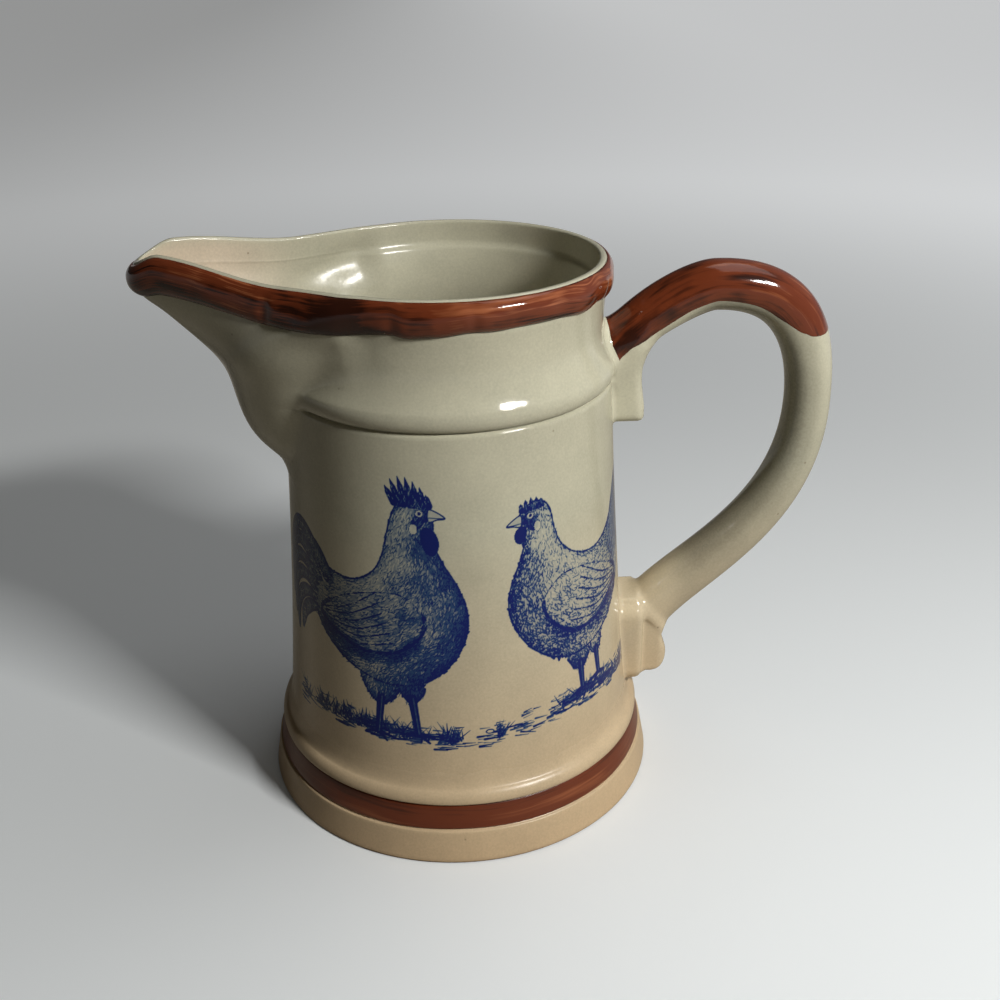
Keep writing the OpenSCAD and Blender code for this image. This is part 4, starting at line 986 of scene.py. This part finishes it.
# Slope of a field by differences, at points (n, 3)
def slopeOf(field, p, step=0.02):
    moves = np.eye(3) * step
    return np.stack([field(*(p + m).T) - field(*(p - m).T) for m in moves], -1) / (2 * step)


# Pulls points onto the surface where the field is 0 and gives its outward direction there
def settleOn(field, p, turns):
    for turn in range(turns):
        slope = slopeOf(field, p)
        p = p - np.clip(field(*p.T) / np.maximum((slope ** 2).sum(-1), 0.2), -0.5, 0.5)[:, None] * slope
    slope = slopeOf(field, p)
    return p, slope / np.linalg.norm(slope, axis=-1, keepdims=True)


# Surface where a field over a grid of cells is 0: one point in each cell that it passes, at the mean of where
# it cuts the cell's edges, and one face round each edge that it cuts
def surfaceOf(field, low, high, cell):
    x, y, z = (np.arange(a, b + cell, cell) for a, b in zip(low, high))
    value = field(x[:, None, None], y[None, :, None], z[None, None, :])
    solid = value < 0
    size = np.array(value.shape) - 1
    corners = [(i, j, k) for i in (0, 1) for j in (0, 1) for k in (0, 1)]
    count = sum(solid[i:i + size[0], j:j + size[1], k:k + size[2]].astype(int) for i, j, k in corners)
    cells = np.argwhere((count > 0) & (count < 8))
    number = np.full(size, -1)
    number[tuple(cells.T)] = np.arange(len(cells))
    total, cuts = np.zeros((len(cells), 3)), np.zeros(len(cells))
    faces = []
    units = np.eye(3, dtype=int)
    for axis in range(3):
        others = [a for a in range(3) if a != axis]
        step, one, two = units[axis], units[others[0]], units[others[1]]
        # Where the surface cuts the four edges of each cell that run along this axis
        for start in (0 * one, two, one, one + two):
            a, b = cells + start, cells + start + step
            va, vb = value[tuple(a.T)], value[tuple(b.T)]
            cut = (va < 0) != (vb < 0)
            share = np.where(cut, va / np.where(cut, va - vb, 1), 0)
            total += np.where(cut[:, None], start + step * share[:, None], 0)
            cuts += cut
        # One face round each cut edge that has cells on all sides
        near = np.moveaxis(solid, axis, 0)
        edges = np.argwhere(near[:-1] != near[1:])
        edges = np.insert(edges[:, 1:], axis, edges[:, 0], axis=1)
        edges = edges[np.all([(edges[:, a] > 0) & (edges[:, a] < size[a]) for a in others], axis=0)]
        quad = np.stack([number[tuple((edges - s).T)] for s in (0 * one, one, one + two, two)], -1)
        flip = solid[tuple(edges.T)] == (axis == 1)
        quad[flip] = quad[flip][:, ::-1]
        faces.append(quad)
    places = np.array(low) + (cells + total / cuts[:, None]) * cell
    return places, np.vstack(faces)


points, faces = surfaceOf(handleSkin, (44, -14.5, 24), (126, 14.5, 178), handle["cell"])
points = settleOn(handleSkin, points, 2)[0]
strapHandle = makePiece("strapHandle", points, faces)
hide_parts("handle", "upper_root_tail", "lower_root_pad")
# Painted shade darkens the glaze on the inner side of the loop, which faces the loop's middle, and painted
# light makes the tail and the pad lighter
strapFacing = np.array([vertex.normal for vertex in strapHandle.data.vertices])
fromMiddle = (points - handle["loopMiddle"]) * (1, 0, 1)
fromMiddle /= np.linalg.norm(fromMiddle, axis=1, keepdims=True)
outerSide = ease(((strapFacing * fromMiddle).sum(1) + 0.9) / 1.5)
onLoop = ease((points[:, 0] - 70) / 12)
paintedShade = handle["paintedShade"] * (1 - outerSide) * onLoop - handle["rootLight"] * (1 - onLoop)
addValue(strapHandle, "paintedShade", paintedShade)
print("handle", len(faces), "faces")

# paint on the handle's back: a thin sheet that follows the strap and dives under its surface at the edges
handlePaint = {
    "thickness": 0.10, "tuck": 0.12, "shell": 0.25, "fadeEdge": 0.7, "waver": 0.9, "edgeDark": 0.05,
    "sectionRadius": 8.0,  # the way round the strap is measured here for edges and streaks
    "start": 98.0, "startDepth": 1.0,  # degrees looked at for its upper end, and how deep that lies
    "rows": 230, "columns": 61,
}
# How light the paint lies, by place along the strap
paintTones = [[-0.4, -0.07], [0, -0.06], [0.3, -0.05], [0.6, -0.03], [0.9, -0.03], [1.2, 0.0], [1.45, 0.04],
              [1.7, 0.03]]
# Half the angle that the paint covers round the strap's section, in degrees, by place along the strap
paintHalves = [[-0.4, 93], [0, 98.5], [0.16, 109], [0.33, 113], [0.65, 111], [1.0, 110], [1.15, 111.5],
               [1.27, 115], [1.40, 114.5], [1.54, 101.5], [1.59, 93], [1.62, 84], [1.638, 70], [1.649, 51.5],
               [1.657, 24.5], [1.659, 13]]
strapLengths = np.concatenate([[0], np.cumsum(np.linalg.norm(np.diff(strapPoints, axis=0), axis=1))])


# Power of a number that keeps its sign
def signedPower(c, e):
    return np.sign(c) * np.abs(c) ** e


# Points of the strap's surface: s along its middle line in millimetres, a round its section from the back,
# in radians
def strapSurface(s, a):
    atLength = lambda s: [np.interp(s, strapLengths, values) for values in (*strapPoints.T, strapPlaces)]
    x, z, place = atLength(s)
    dx, dz = (after - before for after, before in zip(atLength(s + 0.3)[:2], atLength(s - 0.3)))
    run = np.hypot(dx, dz)
    whole = handle["thickness"] * smoothTable(place, thickShares)
    back, face = handle["backShare"], 1 - handle["backShare"]
    off = whole * (np.where(np.cos(a) > 0, back * signedPower(np.cos(a), handle["backPower"]),
                            face * signedPower(np.cos(a), handle["facePower"])) - back + 0.5)
    out = handle["width"] / 2 * signedPower(np.sin(a), handle["edgePower"]) + 0 * off
    return np.stack([x - dz / run * off, out, z + dx / run * off], -1)


# Values of the outer sheet, then those of the inner sheet, which runs back
def bothSheets(outer, inner):
    return np.concatenate([outer, inner[:, ::-1]], axis=1)


rows, columns = handlePaint["rows"], handlePaint["columns"]
across = np.linspace(-1, 1, columns)
# The strap's own curves begin at place 0, after the run into the wall
curveLengths, curvePlaces = strapLengths[leadSteps:], strapPlaces[leadSteps:]
lastLength = np.interp(paintHalves[-1][0], curvePlaces, curveLengths)
# The paint begins where the strap leaves the wall
tryLengths = np.linspace(0, 25, 126)
tryPoints = strapSurface(tryLengths[:, None], across[None, :] * np.radians(handlePaint["start"]))
depthIn = wallDistance(*np.moveaxis(tryPoints, -1, 0))
firstLengths = tryLengths[(depthIn > -handlePaint["startDepth"]).argmax(axis=0)]
firstLengths = np.convolve(np.pad(firstLengths, 4, mode="edge"), np.ones(9) / 9, mode="valid")
# Rows stand closer towards the paint's end
share = np.linspace(0, 1, rows)[:, None] ** 0.97
s = firstLengths + (lastLength - firstLengths) * (1 - (1 - share) ** 1.25)
paintPlaces = np.interp(s, curveLengths, curvePlaces)
waver = handlePaint["waver"] * (np.sin(s * 0.21 + 1) + 0.5 * np.sin(s * 0.47)) * np.sign(across)
halves = np.radians(smoothTable(paintPlaces, paintHalves) + waver * ease((1.5 - paintPlaces) / 0.1))
angle = halves * across
seated, seatedOut = settleOn(handleSkin, strapSurface(s, angle).reshape(-1, 3), 5)
toSide = halves * (1 - np.abs(across)) * handlePaint["sectionRadius"]
toEdge = np.minimum(toSide, np.minimum(s - firstLengths + 0.2, lastLength - s)).ravel()
whole = handlePaint["thickness"] + handlePaint["tuck"]
lift = whole * ease(toEdge / handlePaint["fadeEdge"]) - handlePaint["tuck"]
outerSheet = (seated + seatedOut * lift[:, None]).reshape(rows, columns, 3)
innerSheet = (seated - seatedOut * handlePaint["shell"]).reshape(rows, columns, 3)
sheetFaces = gridFaces(rows, 2 * columns, closeColumns=True)[:, ::-1]
j = np.arange(columns - 1)
endFaces = np.stack([j + 1, j, 2 * columns - 1 - j, 2 * columns - 2 - j], -1)
caps = np.vstack([endFaces[:, ::-1], endFaces + (rows - 1) * 2 * columns])
paintPiece = makePiece("handlePaint", bothSheets(outerSheet, innerSheet).reshape(-1, 3), sheetFaces, caps)
paintWash = smoothTable(paintPlaces, paintTones) - handlePaint["edgeDark"] * np.abs(across) ** 3
paintBrush = 0.25 + 0.3 * ease((paintPlaces[:, :1] - 0.3) / 1.2)
paintValues = {"along": s, "across": angle * handlePaint["sectionRadius"], "wash": paintWash,
               "brush": np.repeat(paintBrush, columns, axis=1)}
for name, values in paintValues.items():
    addValue(paintPiece, name, bothSheets(values, values))
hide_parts("handle_paint")
print("handle paint", len(paintPiece.data.polygons), "faces")

# materials; a noise is its scale, detail and roughness
finish = {
    "creamUpper": (0.505, 0.490, 0.375), "creamLower": (0.610, 0.450, 0.275),
    "creamRise": 0.11,  # height in metres from which the glaze has its upper colour
    "spoutCream": (0.66, 0.55, 0.43), "spoutShare": 0.8,
    "clouds": (55, 5, 0.6), "cloudTone": 0.34, "cloudDull": 0.08,
    "grains": (1400, 2, 0.6), "grainTone": 0.30,
    "orangePeel": 0.09, "peel": (420, 3, 0.55),
    # Pinholes: one in some of the cells of a pattern
    "holeCells": 130, "holeNarrow": 15.0, "holeFrom": 0.80, "holeDark": 0.75, "holeDeep": 1.5,
    "holeColor": (0.16, 0.11, 0.07),
    "clay": (0.36, 0.22, 0.12), "clayDull": 0.55,
    "creamRoughness": 0.06, "creamIndex": 1.45, "creamSpecular": 0.5, "innerDull": 0.14,
    "footDull": 0.22, "footFade": (0.026, 0.042),  # and the heights in metres between which it ends
    "inkPale": (0.045, 0.118, 0.205), "inkDark": (0.005, 0.013, 0.125), "inkStops": (0.35, 0.90),
    "inkCover": (0.04, 0.62), "inkGloss": 0.32,  # how much ink covers, and how much less it mirrors
    "inkGrain": (900, 2, 0.5), "inkLeast": 0.80, "inkVaries": 0.4,
    "slipDark": (0.030, 0.0080, 0.0040), "slipBody": (0.150, 0.032, 0.011), "slipLight": (0.33, 0.105, 0.042),
    "slipStops": (0.37, 0.48, 0.56, 0.68), "slipRoughness": 0.10, "slipIndex": 1.42,
    "slipDrift": 2.2, "driftNoise": (45, 2, 0.5),  # how far streaks stray, in millimetres
    "streakNoise": (1.0, 4, 0.62), "patchNoise": (1.0, 2, 0.5),
    "patchLong": 0.45, "patchWide": 5.0, "slipPatch": 0.5,  # a patch's size against a streak's, and its share
    "slipLevel": 0.25, "slipLumps": 0.10, "lumpNoise": (260, 2, 0.5),
    "bumpDeep": 0.0006,  # metres that a bump of height 1 stands for
}
# Streaks of each slip: length and width in millimetres, depth, and how much duller it is than the others
slips = {"rimSlip": (30, 0.9, 1.0, 0.0), "handleSlip": (34, 1.3, 1.0, 0.0), "footSlip": (90, 1.5, 0.6, 0.2)}


# Node tools: one call adds a node, sets its values and links its inputs by name or number
def addNode(tree, kind, inputs=None, **settings):
    node = tree.nodes.new(kind)
    for name, value in settings.items():
        setattr(node, name, value)
    for key, value in (inputs or {}).items():
        if isinstance(value, bpy.types.NodeSocket):
            tree.links.new(value, node.inputs[key])
        else:
            node.inputs[key].default_value = value
    return node


def mathNode(tree, operation, *values, clamp=False):
    inputs = dict(enumerate(values))
    return addNode(tree, "ShaderNodeMath", inputs, operation=operation, use_clamp=clamp).outputs[0]


def mixColor(tree, factor, a, b):
    a, b = ((*value, 1) if isinstance(value, tuple) else value for value in (a, b))
    return addNode(tree, "ShaderNodeMix", {0: factor, 6: a, 7: b}, data_type="RGBA").outputs[2]


def mapRange(tree, value, low, high, toLow=0.0, toHigh=1.0, smooth=False):
    inputs = {0: value, 1: low, 2: high, 3: toLow, 4: toHigh}
    kind = "SMOOTHSTEP" if smooth else "LINEAR"
    return addNode(tree, "ShaderNodeMapRange", inputs, interpolation_type=kind).outputs[0]


def rampNode(tree, factor, places, colors):
    node = addNode(tree, "ShaderNodeValToRGB", {0: factor})
    ramp = node.color_ramp
    while len(ramp.elements) < len(places):
        ramp.elements.new(0.5)
    for element, place, color in zip(ramp.elements, places, colors):
        element.position = place
        element.color = (*color, 1)
    return node.outputs[0]


def noiseNode(tree, vector, scale, detail, rough):
    inputs = {"Vector": vector, "Scale": scale, "Detail": detail, "Roughness": rough}
    return addNode(tree, "ShaderNodeTexNoise", inputs).outputs[0]


# How far a noise lies off its middle, times a number
def swing(tree, noise, times):
    return mathNode(tree, "MULTIPLY", mathNode(tree, "SUBTRACT", noise, 0.5), times)


# A value that addValue stored in the mesh
def stored(tree, name):
    return addNode(tree, "ShaderNodeAttribute", attribute_name=name).outputs["Fac"]


def bumpNode(tree, strength, height):
    inputs = {"Strength": strength, "Distance": finish["bumpDeep"], "Height": height}
    return addNode(tree, "ShaderNodeBump", inputs).outputs[0]


def newMaterial(name):
    material = bpy.data.materials.new(name)
    material.use_nodes = True
    return material, material.node_tree, material.node_tree.nodes["Principled BSDF"]


# Cream glaze: warmer and darker towards the foot, cloudy, grainy, with a few dark pinholes and orange peel;
# ink lies under it and bare clay shows at the foot ring
def creamGlaze(name):
    material, tree, shader = newMaterial(name)
    place = addNode(tree, "ShaderNodeTexCoord").outputs["Object"]
    height = addNode(tree, "ShaderNodeSeparateXYZ", {0: place}).outputs[2]
    rise = mapRange(tree, height, 0.0, finish["creamRise"])
    tone = mixColor(tree, rise, finish["creamLower"], finish["creamUpper"])
    warm = mathNode(tree, "MULTIPLY", stored(tree, "spoutWarm"), finish["spoutShare"])
    tone = mixColor(tree, warm, tone, finish["spoutCream"])
    cloud = noiseNode(tree, place, *finish["clouds"])
    grain = noiseNode(tree, place, *finish["grains"])
    shift = mathNode(tree, "ADD", swing(tree, cloud, finish["cloudTone"]),
                     swing(tree, grain, finish["grainTone"]))
    # Painted shade on the strap's loop darkens the glaze here, and painted light on the tail and the pad
    # lightens it
    level = mathNode(tree, "SUBTRACT", mathNode(tree, "ADD", shift, 1.0), stored(tree, "paintedShade"))
    toned = addNode(tree, "ShaderNodeVectorMath", {0: tone, "Scale": level}, operation="SCALE").outputs[0]
    # Pinholes
    cell = addNode(tree, "ShaderNodeTexVoronoi", {"Vector": place, "Scale": finish["holeCells"]})
    pick = addNode(tree, "ShaderNodeSeparateColor", {0: cell.outputs["Color"]}).outputs[0]
    fromHole = mathNode(tree, "MULTIPLY", cell.outputs["Distance"], finish["holeNarrow"])
    near = mathNode(tree, "SUBTRACT", 1.0, fromHole, clamp=True)
    hole = mathNode(tree, "MULTIPLY", near, mathNode(tree, "GREATER_THAN", pick, finish["holeFrom"]))
    dotted = mixColor(tree, mathNode(tree, "MULTIPLY", hole, finish["holeDark"]), toned, finish["holeColor"])
    # Ink and bare clay
    inkGrain = mathNode(tree, "MULTIPLY", noiseNode(tree, place, *finish["inkGrain"]), finish["inkVaries"])
    fed = mathNode(tree, "MULTIPLY", stored(tree, "ink"), mathNode(tree, "ADD", finish["inkLeast"], inkGrain))
    inkColor = rampNode(tree, fed, finish["inkStops"], (finish["inkPale"], finish["inkDark"]))
    cover = mapRange(tree, fed, *finish["inkCover"])
    bare = stored(tree, "bare")
    color = mixColor(tree, bare, mixColor(tree, cover, dotted, inkColor), finish["clay"])
    tree.links.new(color, shader.inputs["Base Color"])
    # Roughness: the glaze's own, then what each of these adds
    rough = finish["creamRoughness"]
    for value, dull in ((bare, finish["clayDull"]), (cloud, finish["cloudDull"]),
                        (mapRange(tree, height, *finish["footFade"], 1.0, 0.0), finish["footDull"]),
                        (stored(tree, "inner"), finish["innerDull"])):
        rough = mathNode(tree, "ADD", rough, mathNode(tree, "MULTIPLY", value, dull))
    tree.links.new(rough, shader.inputs["Roughness"])
    inkMatte = mathNode(tree, "MULTIPLY", cover, finish["inkGloss"])
    gloss = mathNode(tree, "SUBTRACT", finish["creamSpecular"], inkMatte)
    tree.links.new(gloss, shader.inputs["Specular IOR Level"])
    shader.inputs["IOR"].default_value = finish["creamIndex"]
    peel = noiseNode(tree, place, *finish["peel"])
    dents = mathNode(tree, "SUBTRACT", peel, mathNode(tree, "MULTIPLY", hole, finish["holeDeep"]))
    tree.links.new(bumpNode(tree, finish["orangePeel"], dents), shader.inputs["Normal"])
    return material


# Brown slip put on with a brush: streaks run along each band, thin and light or thick and dark
def brushedSlip(name):
    streakLength, streakWidth, depth, dull = slips[name]
    material, tree, shader = newMaterial(name)
    along = stored(tree, "along")
    place = addNode(tree, "ShaderNodeTexCoord").outputs["Object"]
    drift = swing(tree, noiseNode(tree, place, *finish["driftNoise"]), finish["slipDrift"])
    rows = mathNode(tree, "DIVIDE", mathNode(tree, "ADD", stored(tree, "across"), drift), streakWidth)
    fine = {0: mathNode(tree, "DIVIDE", along, streakLength), 1: rows}
    streak = noiseNode(tree, addNode(tree, "ShaderNodeCombineXYZ", fine).outputs[0], *finish["streakNoise"])
    wide = {0: mathNode(tree, "DIVIDE", along, streakLength * finish["patchLong"]),
            1: mathNode(tree, "DIVIDE", rows, finish["patchWide"])}
    patch = noiseNode(tree, addNode(tree, "ShaderNodeCombineXYZ", wide).outputs[0], *finish["patchNoise"])
    drawn = mathNode(tree, "MULTIPLY", mathNode(tree, "SUBTRACT", streak, 0.5), stored(tree, "brush"))
    patch = mathNode(tree, "ADD", mathNode(tree, "MULTIPLY", patch, finish["slipPatch"]), finish["slipLevel"])
    mixed = mathNode(tree, "ADD", mathNode(tree, "ADD", drawn, patch), stored(tree, "wash"))
    colors = [finish[key] for key in ("slipDark", "slipBody", "slipBody", "slipLight")]
    tree.links.new(rampNode(tree, mixed, finish["slipStops"], colors), shader.inputs["Base Color"])
    shader.inputs["Roughness"].default_value = finish["slipRoughness"] + dull
    shader.inputs["IOR"].default_value = finish["slipIndex"]
    ridges = mathNode(tree, "MULTIPLY", streak, 0.5 * depth)
    lumps = mathNode(tree, "ADD", noiseNode(tree, place, *finish["lumpNoise"]), ridges)
    tree.links.new(bumpNode(tree, finish["slipLumps"], lumps), shader.inputs["Normal"])
    return material


creamMaterial = creamGlaze("creamGlaze")
for piece in (pitcherBody, strapHandle, *printPieces):
    piece.data.materials.append(creamMaterial)
for piece, name in zip((rimRoll, paintPiece, stripePiece), slips):
    piece.data.materials.append(brushedSlip(name))
print("materials done")

# camera and stage
view = {  # the place in metres, then the picture's own axes
    "place": (0.0, -0.358858, 0.268319), "side": (0.99857265, -0.05102623, -0.01577946),
    "up": (0.03635172, 0.43285118, 0.90073215), "ahead": (0.0391308, 0.9000201, -0.43408824),
    "lens": 43.182, "sensor": 36, "near": 0.01,
}
camera = bpy.data.objects.new("camera", bpy.data.cameras.new("camera"))
camera.data.lens = view["lens"]
camera.data.sensor_width = view["sensor"]
camera.data.clip_start = view["near"]
turn = Matrix([view["side"], view["up"], [-v for v in view["ahead"]]]).transposed()
camera.matrix_world = Matrix.Translation(Vector(view["place"])) @ turn.to_4x4()
bpy.context.scene.collection.objects.link(camera)
bpy.context.scene.camera = camera

# "Seen" colours are those that camera rays meet; the others light the pitcher or show in reflections
stage = {
    "floorSize": 8.0, "floorLit": (0.26, 0.238, 0.205), "floorSeen": (0.85, 0.89, 0.92),
    "floorGloss": (0.46, 0.42, 0.35), "floorRoughness": 0.55, "floorSpecular": 0.3,
    # Painted light: how much the floor glows to the eye near and far, though it is no lamp, and where, in
    # metres
    "glow": (0.02, 0.42), "glowReach": (0.28, 1.1), "glowColor": (0.97, 0.985, 1.0),
    "glowSides": (0.55, 1.15), "glowWidth": 0.8,  # and its share on the spout's and the handle's side
    "skyLight": ((0.016, 0.014, 0.010), (0.275, 0.262, 0.238)),
    "skySeen": ((0.03, 0.028, 0.025), (0.27, 0.30, 0.33)), "skySides": (-0.25, 1.0),
    "skyBehind": (0.47, 0.48, 0.485),
    "lamps": {  # place in metres, width, height, watts, colour
        "key": ((0.440, -0.430, 0.560), 0.17, 0.06, 4.9, (1.0, 0.98, 0.94)),
        "top": ((0.45, 0.25, 1.25), 0.9, 0.7, 2.6, (0.97, 0.985, 1.0)),
    },
    "aim": (0.0, 0.0, 0.09),
}
side = stage["floorSize"]
floorMesh = bpy.data.meshes.new("floor")
floorCorners = [(-side, -side, 0), (side, -side, 0), (side, side, 0), (-side, side, 0)]
floorMesh.from_pydata(floorCorners, [], [(0, 1, 2, 3)])
floor = bpy.data.objects.new("floor", floorMesh)
bpy.context.scene.collection.objects.link(floor)


# Whether a ray comes from the camera, and whether it is a reflection or a refraction
def rayKinds(tree):
    rays = addNode(tree, "ShaderNodeLightPath").outputs
    bounced = mathNode(tree, "MAXIMUM", rays["Is Glossy Ray"], rays["Is Transmission Ray"])
    return rays["Is Camera Ray"], bounced


floorMaterial, tree, shader = newMaterial("floorPaper")
direct, mirrored = rayKinds(tree)
floorSoft = mixColor(tree, mirrored, stage["floorLit"], stage["floorGloss"])
tree.links.new(mixColor(tree, direct, floorSoft, stage["floorSeen"]), shader.inputs["Base Color"])
place = addNode(tree, "ShaderNodeTexCoord").outputs["Object"]
reach = addNode(tree, "ShaderNodeVectorMath", {0: place}, operation="LENGTH").outputs["Value"]
# Painted light: the floor glows for camera rays and reflections, faintly near the pitcher, more far off and
# on the handle's side
glow = mapRange(tree, reach, *stage["glowReach"], *stage["glow"], smooth=True)
toSide = addNode(tree, "ShaderNodeSeparateXYZ", {0: place}).outputs[0]
glowShare = mapRange(tree, toSide, -stage["glowWidth"], stage["glowWidth"], *stage["glowSides"], smooth=True)
glow = mathNode(tree, "MULTIPLY", mathNode(tree, "MULTIPLY", glow, glowShare),
                mathNode(tree, "MAXIMUM", direct, mirrored))
tree.links.new(glow, shader.inputs["Emission Strength"])
shader.inputs["Emission Color"].default_value = (*stage["glowColor"], 1)
shader.inputs["Roughness"].default_value = stage["floorRoughness"]
shader.inputs["Specular IOR Level"].default_value = stage["floorSpecular"]
floorMesh.materials.append(floorMaterial)
for name, (place, width, height, power, color) in stage["lamps"].items():
    lamp = bpy.data.lights.new(name, "AREA")
    lamp.shape, lamp.size, lamp.size_y, lamp.energy, lamp.color = "RECTANGLE", width, height, power, color
    lampObject = bpy.data.objects.new(name, lamp)
    facing = (Vector(place) - Vector(stage["aim"])).to_track_quat("Z", "Y").to_matrix().to_4x4()
    lampObject.matrix_world = Matrix.Translation(Vector(place)) @ facing
    bpy.context.scene.collection.objects.link(lampObject)

# The world lights the pitcher softly, more from the handle's side, and shows in reflections as paler walls
world = bpy.data.worlds.new("world")
bpy.context.scene.world = world
world.use_nodes = True
sky = world.node_tree
direct, mirrored = rayKinds(sky)
skyPlace = addNode(sky, "ShaderNodeTexCoord").outputs["Generated"]
sideOf = addNode(sky, "ShaderNodeSeparateXYZ", {0: skyPlace}).outputs[0]
toHandle = mapRange(sky, sideOf, *stage["skySides"], smooth=True)
lit, shown = (mixColor(sky, toHandle, *stage[name]) for name in ("skyLight", "skySeen"))
skyColor = mixColor(sky, direct, mixColor(sky, mirrored, lit, shown), stage["skyBehind"])
sky.links.new(skyColor, sky.nodes["Background"].inputs["Color"])
bpy.context.scene.view_settings.view_transform = "Standard"
print("stage done")
